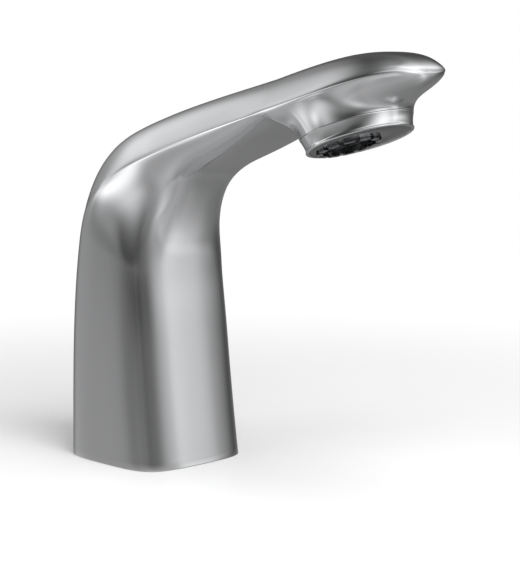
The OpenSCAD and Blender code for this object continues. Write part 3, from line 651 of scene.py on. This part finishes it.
class TapForm:
    """The casting's surface: a section carried along rails, a crowned nose and a neck."""

    def __init__(self, body, outlet):
        self.reach = body.spout_reach / MM
        self.height = body.outlet_height / MM
        self.foot_l = body.base_length / MM
        self.half_foot = body.base_width / MM / 2 * SIDE_K
        self.half_arm = body.arm_width / MM / 2
        self.wall = body.wall / MM
        self.tilt = body.outlet_tilt
        self.up = np.array([-math.sin(self.tilt), 0, math.cos(self.tilt)])
        self.ahead = np.array([math.cos(self.tilt), 0, math.sin(self.tilt)])
        self.outlet = np.array([self.reach, 0, self.height])
        self.tip = np.array([self.reach + body.nose_overhang / MM, 0,
                             self.height + body.nose_rise / MM])
        self.collar_h = outlet.collar_height / MM
        self.seam_r = outlet.collar_d / MM / 2 + 1
        q = body.span_quads
        x = np.linspace(0, 1, q + 1)
        self.q = q
        self.spans = (1 - (1 - x) ** 1.6, x ** 1.4, x, x)
        self.low = 4 * q
        self.nose_rows = body.nose_rows
        self.neck_rows = body.neck_rows
        rx, rz, rl = self.reach / 113.5, self.height / 132, self.foot_l / 57
        self.stations = []
        for i, (sx, sz, lean, back, front, edge, foot, arm) in enumerate(STATIONS):
            k = rl if i < 4 else 1
            e = edge * rl if i < 3 else edge
            half = self.half_foot * foot + self.half_arm * arm + WIDER[i]
            self.stations.append((sx * rx, sz * rz, math.radians(lean), back * k, front * k, e,
                                  half))
        self.end = self.half_sections(np.array([1.0]), 0)[0]
        self.before = self.half_sections(np.array([0.995]), 0)[0]
        step = self.end - self.before
        self.top_line = [self.end[0], self.end[0] + unit(step[0]) * CROWN_RUN,
                         self.tip + [-10, 0, 11], self.tip]
        self.edge_line = [self.end[q], self.end[q] + unit(step[q]) * EDGE_RUN,
                          self.tip + [0, self.half_arm + 4.5, 4.5], self.tip]
        drop = self.end[0] - self.end[self.low]
        rise = self.end[0] - self.end[q] * [1, 0, 1]
        self.ridge = EDGE_UP * np.linalg.norm(drop) / np.linalg.norm(rise)

    def weights(self, t):
        """Cubic B-spline weights of the stations at each t."""
        n = len(self.stations)
        knots = np.clip(np.arange(n + 4) - 3, 0, n - 3).astype(float)
        tt = np.minimum(t, 0.999999)[:, None] * (n - 3)
        b = ((tt >= knots[:-1]) & (tt < knots[1:])).astype(float)
        for k in range(1, 4):
            low, high = knots[:-k - 1], knots[k + 1:]
            left = knots[k:-1] - low
            right = high - knots[1:-k]
            rise = np.divide(tt - low, left, out=np.zeros((len(t), len(left))), where=left > 0)
            fall = np.divide(high - tt, right, out=np.zeros((len(t), len(right))), where=right > 0)
            b = rise * b[:, :-1] + fall * b[:, 1:]
        return b

    def rails(self, t, inset):
        rows = []
        for x, z, lean, back, front, edge, half in self.stations:
            ux, uz = -math.cos(lean), math.sin(lean)
            rows.append([x + ux * (back - inset), z + uz * (back - inset),
                         x - ux * (front - inset), z - uz * (front - inset),
                         x + ux * edge, z + uz * edge, half - inset * 0.9])
        return self.weights(t) @ np.array(rows)

    def controls(self, t, inset):
        """Thirteen handles of half a section, from the back round to the front, for each t."""
        r = self.rails(t, inset)
        top, low, edge, half = r[:, 0:2], r[:, 2:4], r[:, 4:6], r[:, 6]
        up = top - low
        k, cw, kw = CORNER, half / SIDE_K, half * KEEL_W
        m = smooth_step((t - BLEND_FROM) / BLEND_SPAN)[:, None, None]
        keel = low + (edge - low) * KEEL_H
        zero = half * 0

        def at(p, y):
            return np.stack([p[:, 0], y, p[:, 1]], -1)

        under = edge - low
        side = np.stack([under[:, 0] * 0.34, half * 0.42, under[:, 1] * 0.34], -1)
        column = [at(top, zero), at(top, k * cw / 2),
                  at(low + up * (3.5 + 0.5 * k) / 4, cw * (2 * k + 1) / 4),
                  at(low + up * (6 + 1.5 * k) / 8, half),
                  at(low + up * (2.5 + k) / 4, cw * (k + 3) / 4),
                  at(low + up * (0.5 + 0.25 * k), cw)]
        column += halved(at(low + up * 0.5, cw), at(low + up * (0.5 - 0.5 * k), cw),
                         at(low, k * cw), at(low, zero))
        arm = [at(top, zero), at(top, CROWN_FLAT * half),
               at(edge + up * EDGE_UP, half * (1 - EDGE_IN))]
        arm += halved(at(edge, half), at(edge - under * 0.45, half * 0.945),
                      at(keel, kw) + side * 0.45, at(keel, kw))
        arm += [at(keel, kw) - side * 0.3, at(low, 0.5 * kw), at(low, zero)]
        return np.stack(column, 1) * (1 - m) + np.stack(arm, 1) * m

    def half_sections(self, t, inset):
        c = self.controls(t, inset)
        rows = [cubic(*(c[:, 3 * g + i, None] for i in range(4)), s[None, :-1, None])
                for g, s in enumerate(self.spans)]
        return np.concatenate(rows + [c[:, 12:13]], 1)

    def sections(self, t, inset):
        half = self.half_sections(np.atleast_1d(t).astype(float), inset)
        return np.concatenate([half, mirrored(half[:, -2:0:-1])], 1)

    def crown_row(self, u):
        """A section of the nose's top, from the right edge over the ridge to the left edge."""
        a, e = cubic(*self.top_line, u), cubic(*self.edge_line, u)
        y = np.array([0, e[1], 0])
        d = a - e * [1, 0, 1]
        k = self.ridge + (0.85 - self.ridge) * u
        s = self.spans[0][:, None]
        half = cubic(a, a + y * CROWN_FLAT, e - y * (EDGE_IN + (0.25 - EDGE_IN) * u) + d * k, e, s)
        return np.concatenate([mirrored(half[:0:-1]), half])

    def underside(self):
        """Rays of the underside, from its outline down to the seam of the collar."""
        q, n = self.q, self.nose_rows
        u = np.arange(1, n)[:, None] / n
        edge = cubic(*self.edge_line, u)
        loop = np.concatenate([self.end[q:], mirrored(self.end[self.low - 1:q - 1:-1]),
                               mirrored(edge), [self.tip], edge[::-1]])
        flat = loop - self.outlet
        plan = np.stack([flat @ self.ahead, flat[:, 1]], -1)
        low_n, count_all = 6 * q + 1, len(loop)
        rays = []
        for i, p in enumerate(loop):
            r = plan[i] / np.linalg.norm(plan[i])
            inward = -(self.ahead * r[0] + np.array([0, r[1], 0]))
            if i < low_n:
                j = i + q
                a = j if j <= self.low else 8 * q - j
                n_vec = np.cross(self.end[a] - self.before[a],
                                 self.end[min(a + 1, self.low)] - self.end[max(a - 1, q)])
                if a != j:
                    n_vec = n_vec * [1, -1, 1]
                slope = -(inward @ n_vec) / (self.up @ n_vec)
            else:
                d = plan[(i + 1) % count_all] - plan[i - 1]
                side = unit([d[1], -d[0]])
                slope = -math.tan(FLARE) * abs(side @ plan[i]) / np.linalg.norm(plan[i])
            foot = self.outlet + self.up * self.collar_h - inward * self.seam_r
            gap = max(np.linalg.norm(plan[i]) - self.seam_r, 0)
            rise = (p - foot) @ self.up
            m = 0 if i < low_n else LIP * gap / (gap + 6)
            run = (inward + self.up * slope) * max(gap, 1) * (0.55 if i < low_n else 0.435)
            start = run * (1 - m) + (inward * 0.24 - self.up) * rise * m * 0.6
            last = (self.up - inward * 0.19 * gap / (gap + 1.5)) * rise * 0.474
            rays.append([p, p + start, foot + last, foot])
        return np.array(rays)


def casting_skin(form, rows_along):
    """The whole casting: foot, column, arm, nose, neck, recess and hollow."""
    q = form.q
    ring_n = 8 * q
    skin = Skin()
    foot = [form.sections(0.0, w)[0] * [1, 1, 0] + [0, 0, z]
            for z, w in ((0, 0.45), (0.06, 0.2), (0.2, 0.06), (0.5, 0))]
    foot_rows = [skin.row(p) for p in foot]
    t = np.arange(1, rows_along + 1) / rows_along
    rows = foot_rows + [skin.row(p) for p in form.sections(t, 0)]
    for a, b in zip(rows, rows[1:]):
        skin.band(a, b)
    last = rows[-1]
    # the nose's crown, row by row to the tip
    tip = skin.row([form.tip])[0]
    crown = [[last[(j + ring_n) % ring_n] for j in range(-q, q + 1)]]
    for k in range(1, form.nose_rows):
        crown.append(skin.row(form.crown_row(k / form.nose_rows)))
    crown.append([tip] * (2 * q + 1))
    for a, b in zip(crown, crown[1:]):
        skin.band(a, b, closed=False)
    # the underside, from the outline down to the collar's seam
    outline = [last[j] for j in range(q, ring_n - q + 1)]
    outline += [crown[k][0] for k in range(1, form.nose_rows)] + [tip]
    outline += [crown[k][-1] for k in range(form.nose_rows - 1, 0, -1)]
    rays = form.underside()
    above = outline
    for v in range(1, form.neck_rows + 1):
        s = v / form.neck_rows
        below = skin.row(cubic(rays[:, 0], rays[:, 1], rays[:, 2], rays[:, 3], s))
        skin.band(above, below)
        above = below
    # rim of the seam, then the recess that takes the carrier
    seam = np.array([skin.points[i] for i in above])
    middle = form.outlet + form.up * form.collar_h
    for r, h in ((form.seam_r - 0.06, 0.0), (RECESS_R + 0.2, 0.0), (RECESS_R, 0.15),
                 (RECESS_R, RECESS_H)):
        ring = middle + (seam - middle) / form.seam_r * r + form.up * h
        below = skin.row(ring)
        skin.band(above, below)
        above = below
    skin.fan(above, middle + form.up * RECESS_H)
    # the hollow
    inner_t = np.arange(0, 17) / 16 * HOLLOW_END
    inside = [skin.row(p) for p in form.sections(inner_t, form.wall)]
    for a, b in zip(inside, inside[1:]):
        skin.band(a, b)
    skin.band(foot_rows[0], inside[0])
    skin.fan(inside[-1], np.mean([skin.points[i] for i in inside[-1]], axis=0))
    crease = [skin.points[r[q]] for r, at in zip(rows[4:], t) if at > BLEND_FROM]
    crease += [skin.points[r[-1]] for r in crown[1:]]
    return skin, np.array(crease)


def round_crease(crease, zone, passes, tip_zone, tip_radius):
    """Rounds the crease, and the nose's tip more than the rest of it."""
    both = np.concatenate([crease, mirrored(crease)])
    tree = kdtree.KDTree(len(both))
    for i, p in enumerate(both):
        tree.insert(Vector(p), i)
    tree.balance()
    tip = Vector(crease[-1])

    def edit(bm):
        near = [v for v in bm.verts if tree.find(v.co)[2] < zone]
        for _ in range(passes):
            bmesh.ops.smooth_vert(bm, verts=near, factor=0.5, use_axis_x=True, use_axis_y=True,
                                  use_axis_z=True)
        bm.normal_update()
        end = [v for v in bm.verts if (v.co - tip).length < tip_zone]
        areas = np.array([sum(f.calc_area() for f in v.link_faces) for v in end])
        far = np.array([(v.co - tip).length for v in end]) / tip_zone
        reach = tip_radius * (1 - smooth_step(far)) + 0.02
        for _ in range(3):
            at = np.array([v.co for v in end])
            out = np.array([v.normal for v in end])
            moved = []
            for p, n, r, f in zip(at, out, reach, far):
                weight = (areas * np.clip(out @ n, 0, 1)
                          * np.exp(-((at - p) ** 2).sum(1) / (2 * r * r)))
                mean = (weight @ at) / max(weight.sum(), 1e-9)
                moved.append(p + (mean - p) * (f < 0.97))
            for v, p in zip(end, moved):
                v.co = p
            bm.normal_update()

    return edit


def outlet_place(form, back=0.0):
    """The outlet's own frame: Z up its axis from the face, X ahead."""
    at = form.outlet - form.ahead * back
    turn = Matrix((
        (form.ahead[0], 0, form.up[0], at[0]),
        (0, 1, 0, at[1]),
        (form.ahead[2], 0, form.up[2], at[2]),
        (0, 0, 0, 1),
    ))
    return turn


class SENSORTAP_OT_casting(bpy.types.Operator):
    """Builds the casting: foot, column, elbow, creased arm, nose and neck"""

    bl_idname = "sensortap.casting"
    bl_label = "Casting"

    def execute(self, context):
        scene = context.scene
        form = TapForm(scene.tap_body, scene.tap_outlet)
        skin, crease = casting_skin(form, scene.tap_body.rows_along)
        body = scene.tap_body
        smoothing = round_crease(
            crease, body.crease_zone / MM, body.crease_passes, body.tip_zone / MM,
            body.tip_radius / MM)
        piece = skin.made("tap_casting", sharp=38, edit=smoothing)
        fin = scene.tap_finishes
        settle(piece, "body", chrome_finish("chrome_plate", fin.chrome, fin.chrome_rough))
        return {"FINISHED"}


class SENSORTAP_OT_collar(bpy.types.Operator):
    """Turns the collar, its rolled lower rim and its seam with the casting"""

    bl_idname = "sensortap.collar"
    bl_label = "Collar"

    def execute(self, context):
        scene = context.scene
        form = TapForm(scene.tap_body, scene.tap_outlet)
        r = scene.tap_outlet.collar_d / MM / 2
        h = scene.tap_outlet.collar_height / MM
        inner = r - 1.3
        flared = [(r - 0.25 + 0.13 * (z - 1.2) + 0.035 * (z - 1.2) ** 2, z)
                  for z in np.linspace(1.2, h - 0.28, 18)]
        rim = [(r - 0.5, 0.0), (r - 0.3, 0.03), (r - 0.12, 0.12), (r - 0.02, 0.28), (r, 0.42),
               (r - 0.03, 0.58), (r - 0.11, 0.76), (r - 0.21, 0.95)]
        top = [(flared[-1][0] - 0.04, h - 0.12), (flared[-1][0] - 0.14, h - 0.03),
               (flared[-1][0] - 0.3, h)]
        profile = rim + flared + top + [(inner, h), (inner, 0.25), (inner + 0.08, 0.06),
                                        (inner + 0.25, 0.0)]
        piece = turned("outlet_collar", profile, outlet_place(form), scene.tap_outlet.turned_steps,
                       sharp=50)
        fin = scene.tap_finishes
        settle(piece, "collar", chrome_finish(
            "chrome_turned", fin.collar_chrome, fin.collar_rough, turned=-form.tilt))
        return {"FINISHED"}


class SENSORTAP_OT_face(bpy.types.Operator):
    """Makes the smoked face cover and the slotted ring of the flow regulator"""

    bl_idname = "sensortap.face"
    bl_label = "Outlet face"

    def execute(self, context):
        scene = context.scene
        form = TapForm(scene.tap_body, scene.tap_outlet)
        fin = scene.tap_finishes
        steps = scene.tap_outlet.turned_steps
        outer = scene.tap_outlet.collar_d / MM / 2 - 1.4
        hole = scene.tap_outlet.aerator_d / MM / 2 + 0.1
        shift = scene.tap_outlet.aerator_offset / MM
        skin = Skin()
        angles = np.linspace(0, 2 * np.pi, steps, endpoint=False)

        def ring(r, h, at):
            return skin.row([(at + r * math.cos(a), r * math.sin(a), h) for a in angles])

        rows = [ring(outer, 2.0, 0), ring(outer, 0.4, 0),
                ring(outer - 0.04, 0.3, 0), ring(outer - 0.15, 0.25, 0),
                ring(hole + 0.15, 0.25, -shift), ring(hole + 0.04, 0.3, -shift),
                ring(hole, 0.4, -shift),
                ring(hole, 2.0, -shift)]
        for a, b in zip(rows, rows[1:] + rows[:1]):
            skin.band(a, b)
        cover = skin.made("face_cover_plate", outlet_place(form))
        settle(cover, "face_cover", moulded_finish(
            "smoked_cover", fin.cover, 0.16, grain=0.6, depth=0.004, gloss=0.5, coat=0.3))

        # slotted ring: teeth and slots round the mouth
        r_out, r_in = hole - 0.2, hole - 2.3
        skin = Skin()
        slots = scene.tap_outlet.aerator_slots
        cell = 2 * math.pi / slots
        column = []
        for i in range(slots):
            cut_out, cut_in = math.asin(0.9 / r_out), math.asin(0.9 / r_in)
            for f in np.linspace(-1, 1, 5):
                column.append((i * cell + f * cut_out, i * cell + f * cut_in, SLOT_END))
            for f in np.linspace(0, 1, 9):
                a0, a1 = i * cell + cut_out, (i + 1) * cell - cut_out
                b0, b1 = i * cell + cut_in, (i + 1) * cell - cut_in
                column.append((a0 + f * (a1 - a0), b0 + f * (b1 - b0), TOOTH_END))

        def loop(radius, side, height=None):
            """A row round the ring: side 0 outside, 1 in the bore. It follows the teeth."""
            return skin.row([(radius * math.cos(at[side]), radius * math.sin(at[side]),
                              at[2] if height is None else height) for at in column])

        loops = [loop(r_in, 1), loop(r_out, 0), loop(r_out, 0, SHELF),
                 loop(r_out, 0, RING_TOP), loop(r_in, 1, RING_TOP), loop(r_in, 1, SHELF)]
        for a, b in zip(loops, loops[1:] + loops[:1]):
            skin.band(a, b)
        ring_piece = skin.made("regulator_ring", outlet_place(form, shift), sharp=30)
        bevel = ring_piece.modifiers.new("soft_edges", "BEVEL")
        bevel.width, bevel.segments, bevel.angle_limit = 0.12 * MM, 2, math.radians(40)
        # The ring's darker chrome colour paints the shade that falls inside the bore
        settle(ring_piece, "aerator_housing", chrome_finish(
            "chrome_ring_shaded", fin.ring_chrome_shaded, 0.12, turned=-form.tilt))
        return {"FINISHED"}


class SENSORTAP_OT_springs(bpy.types.Operator):
    """Winds the two springs from round wire with closed ends"""

    bl_idname = "sensortap.springs"
    bl_label = "Springs"

    def execute(self, context):
        steel = metal_finish("spring_wire", context.scene.tap_finishes.steel, 0.25, 0.2, (1, 1, 1),
                             0.003)
        for node, (joint, radius, wire, turns) in SPRINGS.items():
            low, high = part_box(node)
            x, y = (low.x + high.x) / 2 / MM, (low.y + high.y) / 2 / MM
            z0, z1 = low.z / MM + wire / 2, high.z / MM - wire / 2
            n, m = int(turns * 32), 10
            skin = Skin()
            rows = []
            for i in range(n + 1):
                a = 2 * math.pi * turns * i / n
                f = i / n
                # the first and last turn lie flat
                flat = FLAT_TURN / turns
                open_part = (f - flat) / (1 - 2 * flat)
                g = smooth_step(open_part) * 0.25 + 0.75 * np.clip(open_part, 0, 1)
                z = z0 + (z1 - z0 - 2 * wire) * g + wire * min(f / flat, 1) * 0.98
                z += wire * 0.98 * max(0.0, (f - 1 + flat) / flat)
                z = min(z, z1)
                b = np.linspace(0, 2 * np.pi, m, endpoint=False)
                q = radius + wire / 2 * np.cos(b)
                rows.append(skin.row(np.stack(
                    [x + q * math.cos(a), y + q * math.sin(a), z + wire / 2 * np.sin(b)], -1)))
            for a, b in zip(rows, rows[1:]):
                skin.band(a, b)
            skin.cap(rows[0])
            skin.cap(rows[-1])
            piece = skin.made(node + "_wire", sharp=60)
            settle(piece, node, steel)
            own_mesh(piece)
        return {"FINISHED"}


class SENSORTAP_OT_finishes(bpy.types.Operator):
    """Gives every piece that keeps its CAD shape its finish"""

    bl_idname = "sensortap.finishes"
    bl_label = "Finishes"

    def execute(self, context):
        fin = context.scene.tap_finishes
        body = context.scene.tap_body
        tilt, reach, height = body.outlet_tilt, body.spout_reach / MM, body.outlet_height / MM
        board_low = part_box("control_board")[1].x / MM - 1.55
        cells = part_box("battery_cells")

        def control_chips(s, place):
            return s.parts(place)[0] < board_low

        def sensor_chips(s, place):
            _, _, z = s.parts(s.rotated(place, -tilt, (reach, 0, height)))
            return z < height + 7.55

        made = {
            "carrier_grey": (moulded_finish, "carrier_moulding", fin.carrier, 0.5),
            "aerator_grid": (moulded_finish, "grid_moulding", fin.grid, 0.35, 0.25, 0.01),
            "steel": (metal_finish, "stainless", fin.steel, 0.3, 0.25),
            "rubber_black": (rubber_finish, "seal_rubber", fin.rubber),
            "lens_clear": (lens_finish, "clear_epoxy", fin.lens_clear, 0.6),
            "lens_dark": (lens_finish, "dark_epoxy", fin.lens_dark, 0.1),
            "lead_black": (rubber_finish, "lead_jacket", fin.lead),
            "tube_white": (tube_finish, "milky_hose", fin.tube),
            "brass": (metal_finish, "machined_brass", fin.brass, 0.28, 0.3, (1, 1, 0.5)),
            "white_plastic": (moulded_finish, "white_moulding", fin.white_plastic, 0.42),
            "disc_grey": (moulded_finish, "disc_moulding", fin.disc, 0.3, 0.4, 0.008),
            "bonnet_black": (moulded_finish, "glass_filled", fin.bonnet, 0.55, 0.5, 0.03),
            "coil_black": (moulded_finish, "coil_cover", fin.coil, 0.28, 0.5, 0.01),
            "cell_sleeve": (sleeve_finish, "cell_film", fin.sleeve, fin.steel,
                            cells[0].z / MM + 0.8, cells[1].z / MM - 1.8),
            "holder_black": (moulded_finish, "holder_moulding", fin.holder, 0.5),
            "contact_gold": (metal_finish, "plated_strip", fin.contact, 0.22, 0.2, (1, 1, 1),
                             0.004),
        }
        ready = {}
        for node, piece in frame["nodes"].items():
            if piece.hide_render:
                continue
            slot = SLOT_OF[node]
            if slot == "board_green":
                material = board_finish("board_" + node, fin.board, fin.chip, fin.copper,
                                        control_chips if node == "control_board" else sensor_chips)
            else:
                if slot not in ready:
                    kind, *values = made[slot]
                    ready[slot] = kind(*values)
                material = ready[slot]
            piece.data.materials.clear()
            piece.data.materials.append(material)
        return {"FINISHED"}


# Soft lights and black cards of the studio as the metal sees them: direction
# from the tap (turn from +X towards +Y, height), half widths sideways and
# upwards (as sines), lean, strength and how firm the edges are (1 soft, 2 firm)
STUDIO_LIGHTS = {
    "front_strip": (39.2, -8.1, 0.124, 0.600, 7, 0.232, 2),
    "front_spill": (20.7, -9.4, 0.593, 1.400, -4, 0.496, 1),
    "left_wall": (-138.3, -26.0, 0.356, 1.400, 47, 0.211, 2),
    "back_left_softbox": (-165.8, 38.1, 0.281, 0.215, 36, 0.822, 1),
    "overhead_back": (63.0, 41.2, 0.350, 0.482, 55, 0.957, 1),
    "floor_front": (-41.5, -34.2, 0.663, 0.265, -1, 0.389, 1),
    "floor_left": (-144.0, -61.0, 0.796, 0.367, 16, 0.316, 1),
    "dark_side_card": (-79.3, 9.6, 0.648, 0.238, 1, -0.140, 2),
    "dark_top_card": (-26.6, 55.4, 1.400, 0.460, -45, -0.500, 1),
    "dark_front_card": (81.6, 10.4, 0.411, 0.731, -66, -0.166, 2),
    "ceiling": (6.7, 67.2, 0.902, 0.353, -59, 0.751, 1),
    "nose_band": (50.5, 8.4, 0.411, 0.080, -6, 0.553, 1),
    "low_band": (46.6, -28.7, 0.103, 0.392, 33, 0.332, 1),
    "neck_spot": (-163.3, 20.1, 0.080, 0.188, 38, 0.623, 1),
    "low_back_wall": (176.8, -30.6, 0.369, 0.234, 15, 0.505, 1),
    "left_spot": (-141.3, 17.2, 0.222, 0.126, -32, 0.803, 1),
}
# Small soft cards close to the metal: place in millimetres, direction they are
# seen in (turn, height), half widths in millimetres, lean and strength
NEAR_CARDS = {
    "elbow_card": (-9.0, -82.4, 143.0, -94.2, -24.1, 41.6, 24.8, -27, 1.66),
    "neck_card": (61.8, -99.7, 144.7, -85.8, 21.2, 50.0, 11.4, -8, 1.09),
    "nose_card": (168.2, -10.2, 155.8, -17.8, 38.5, 43.9, 18.4, -37, 1.21),
    "spot_card": (-21.7, -51.3, 115.6, -100.0, 11.9, 39.9, 4.8, -10, 1.09),
    "neck_glow_card": (97.6, -38.9, 138.2, -125.0, 22.3, 5.0, 4.1, 8, 0.82),
}
TENT_AT, TENT_R = (0.045, 0, 0.09), 1.25
DARKEST, BRIGHTEST = 0.07, 1.4
# Lamps that light the floor: place, diameter in metres and watts
LAMPS = {
    "key_softbox": ((0.8, -0.22, 0.9), 1.1, 18),
    "fill_softbox": ((-0.3, -1.2, 0.9), 1.0, 4),
    "top_softbox": ((0.1, 0.0, 1.5), 0.8, 4),
}
LAMP_AIM = Vector((0.04, 0, 0.06))


def card_axes(turn, height, lean):
    """The direction a light is seen in, and its two leaning half axes."""
    a, e, c = math.radians(turn), math.radians(height), math.radians(lean)
    ahead = Vector((math.cos(e) * math.cos(a), math.cos(e) * math.sin(a), math.sin(e)))
    side = Vector((-math.sin(a), math.cos(a), 0))
    up = ahead.cross(side)
    return ahead, side * math.cos(c) + up * math.sin(c), up * math.cos(c) - side * math.sin(c)


def studio_light(s, ahead, base):
    """Brightness of the studio in a direction, as the sum of its soft lights."""
    total = base
    for turn, height, wide, tall, lean, strength, firm in STUDIO_LIGHTS.values():
        facing, across, above = (
            s.node("ShaderNodeVectorMath", {"operation": "DOT_PRODUCT"}, {0: ahead, 1: tuple(v)},
                   out="Value")
            for v in card_axes(turn, height, lean))
        apart = (across / wide) ** 2 + (above / tall) ** 2
        total = (0.0 - apart ** firm).exp() * facing.ramp(-0.1, 0.1) * strength + total
    return total.at_least(DARKEST).at_most(BRIGHTEST)


class SENSORTAP_OT_stage(bpy.types.Operator):
    """Makes the pale floor, the soft studio light and the camera"""

    bl_idname = "sensortap.stage"
    bl_label = "Stage"

    def camera(self, scene):
        stage = scene.tap_stage
        yaw, pitch = stage.camera_yaw, stage.camera_pitch
        ahead = Vector((-math.sin(yaw) * math.cos(pitch), math.cos(yaw) * math.cos(pitch),
                        -math.sin(pitch)))
        data = bpy.data.cameras.new("front_left_view")
        data.lens, data.sensor_width, data.sensor_fit = stage.lens, 36.0, "AUTO"
        data.clip_start, data.clip_end = 0.02, 50
        camera = bpy.data.objects.new("front_left_view", data)
        scene.collection.objects.link(camera)
        camera.location = stage.camera_at
        camera.rotation_mode = "QUATERNION"
        camera.rotation_quaternion = ahead.to_track_quat("-Z", "Y")
        scene.camera = camera

    def lamp(self, scene, name, at, size, power):
        data = bpy.data.lights.new(name, "AREA")
        data.shape, data.size, data.energy = "DISK", size, power
        lamp = bpy.data.objects.new(name, data)
        scene.collection.objects.link(lamp)
        lamp.location = at
        lamp.rotation_mode = "QUATERNION"
        lamp.rotation_quaternion = (LAMP_AIM - Vector(at)).to_track_quat("-Z", "Y")
        lamp.visible_glossy = False

    def near_card(self, name, at, turn, height, wide, tall, lean, strength):
        """A soft card that only the metal sees; light passes it."""
        ahead, side, up = card_axes(turn, height, lean)
        bpy.ops.mesh.primitive_plane_add(size=1)
        card = bpy.context.object
        card.name = name
        card.data.transform(Matrix.Diagonal((5.2 * wide * MM, 5.2 * tall * MM, 1, 1)))
        facing = Matrix((side, -up, -ahead)).transposed().to_4x4()
        card.matrix_world = Matrix.Translation(Vector(at) * MM) @ facing
        s = Shader(name + "_light")
        x, y, _ = s.parts(s.place())
        level = (0.0 - (x / wide) ** 2 - (y / tall) ** 2).exp() * strength
        clear = s.node("ShaderNodeBsdfTransparent")
        lit = s.added(clear, s.light(level))
        behind = s.node("ShaderNodeNewGeometry", out="Backfacing")
        card.data.materials.append(s.output(s.mixed(behind, lit, clear)))
        return card

    def seen(self, s):
        """1 for rays from the eye, through glass or off metal."""
        path = s.node("ShaderNodeLightPath", out="Is Camera Ray")
        outputs = path.socket.node.outputs
        return (path + Value(s, outputs["Is Glossy Ray"])
                + Value(s, outputs["Is Transmission Ray"])).clamped()

    def execute(self, context):
        scene = context.scene
        stage = scene.tap_stage
        scene.view_settings.view_transform = "Standard"
        self.camera(scene)

        world = bpy.data.worlds.new("white_room")
        scene.world = world
        s = Shader("white_room", world)
        seen = self.seen(s)
        s.output(s.node("ShaderNodeBackground", {}, {
            0: (1.0, 1.0, 1.0), 1: seen + (1.0 - seen) * stage.ambient}), "World")

        bpy.ops.mesh.primitive_plane_add(size=40)
        floor = bpy.context.object
        floor.name = "floor"
        s = Shader("pale_floor")
        place = s.node("ShaderNodeNewGeometry", out="Position")
        fine = s.noise(place, 0.02, 3)
        paint = s.node("ShaderNodeBsdfDiffuse", {}, {0: s.tint(stage.floor, 0.99 + fine * 0.02)})
        sheen = s.node("ShaderNodeBsdfGlossy", {}, {0: (1.0, 1.0, 1.0), "Roughness": 0.12})
        glow = s.light(self.seen(s) * stage.floor_glow)
        near = s.added(s.mixed(0.05, paint, sheen), glow)
        x, y, _ = s.parts(place)
        far = ((x * x + y * y) ** 0.5).ramp(stage.white_from, stage.white_to) * self.seen(s)
        floor.data.materials.append(s.output(s.mixed(far, near, s.light(1.0))))

        # the studio as the metal sees it: a tent round the tap, and a shade round the foot
        floor.visible_glossy = False
        bpy.ops.mesh.primitive_uv_sphere_add(segments=64, ring_count=32, radius=TENT_R,
                                             location=TENT_AT)
        tent = bpy.context.object
        tent.name = "studio_tent"
        s = Shader("studio_tent_light")
        place = s.node("ShaderNodeNewGeometry", out="Position")
        away = s.node("ShaderNodeVectorMath", {"operation": "SUBTRACT"}, {0: place, 1: TENT_AT})
        ahead = s.node("ShaderNodeVectorMath", {"operation": "NORMALIZE"}, {0: away})
        tent.data.materials.append(s.output(s.light(studio_light(s, ahead, stage.base_level))))

        bpy.ops.mesh.primitive_circle_add(vertices=96, radius=1.2, fill_type="NGON",
                                          location=(0, 0, 0.0005))
        shade = bpy.context.object
        shade.name = "foot_shade"
        s = Shader("foot_shade_tone")
        x, y, _ = s.parts(s.node("ShaderNodeNewGeometry", out="Position"))
        near = (x - stage.shade_at[0]) ** 2 + (y - stage.shade_at[1]) ** 2
        depth = (0.0 - near / stage.shade_reach ** 2).exp() * stage.shade_depth
        clear = s.node("ShaderNodeBsdfTransparent")
        shade.data.materials.append(s.output(s.mixed(depth, clear, s.light(0.0))))
        cards = [self.near_card(name, card[:3], *card[3:]) for name, card in NEAR_CARDS.items()]
        for wall in (tent, shade, *cards):
            wall.active_material.cycles.emission_sampling = "NONE"
            wall.visible_camera = wall.visible_diffuse = wall.visible_transmission = False
            wall.visible_shadow = wall.visible_volume_scatter = False

        for name, values in LAMPS.items():
            self.lamp(scene, name, *values)
        return {"FINISHED"}


class SENSORTAP_PT_panel(bpy.types.Panel):
    """Lists the steps that build the tap"""

    bl_idname = "SENSORTAP_PT_panel"
    bl_label = "Sensor tap"
    bl_space_type = "VIEW_3D"
    bl_region_type = "UI"
    bl_category = "Sensor tap"

    def draw(self, context):
        column = self.layout.column(align=True)
        for step in STEPS:
            column.operator(step.bl_idname, text=step.bl_label)


GROUPS = {
    "tap_body": TapBodySizes,
    "tap_outlet": TapOutletSizes,
    "tap_finishes": TapFinishes,
    "tap_stage": TapStage,
}
STEPS = (
    SENSORTAP_OT_casting,
    SENSORTAP_OT_collar,
    SENSORTAP_OT_face,
    SENSORTAP_OT_springs,
    SENSORTAP_OT_finishes,
    SENSORTAP_OT_stage,
)


def register():
    for cls in (*GROUPS.values(), *STEPS, SENSORTAP_PT_panel):
        bpy.utils.register_class(cls)
    for name, cls in GROUPS.items():
        setattr(bpy.types.Scene, name, bpy.props.PointerProperty(type=cls))


def unregister():
    for name in GROUPS:
        delattr(bpy.types.Scene, name)
    for cls in (SENSORTAP_PT_panel, *reversed(STEPS), *reversed(GROUPS.values())):
        bpy.utils.unregister_class(cls)


def main():
    register()
    for step in STEPS:
        group, name = step.bl_idname.split(".")
        getattr(getattr(bpy.ops, group), name)()


if __name__ == "__main__":
    main()
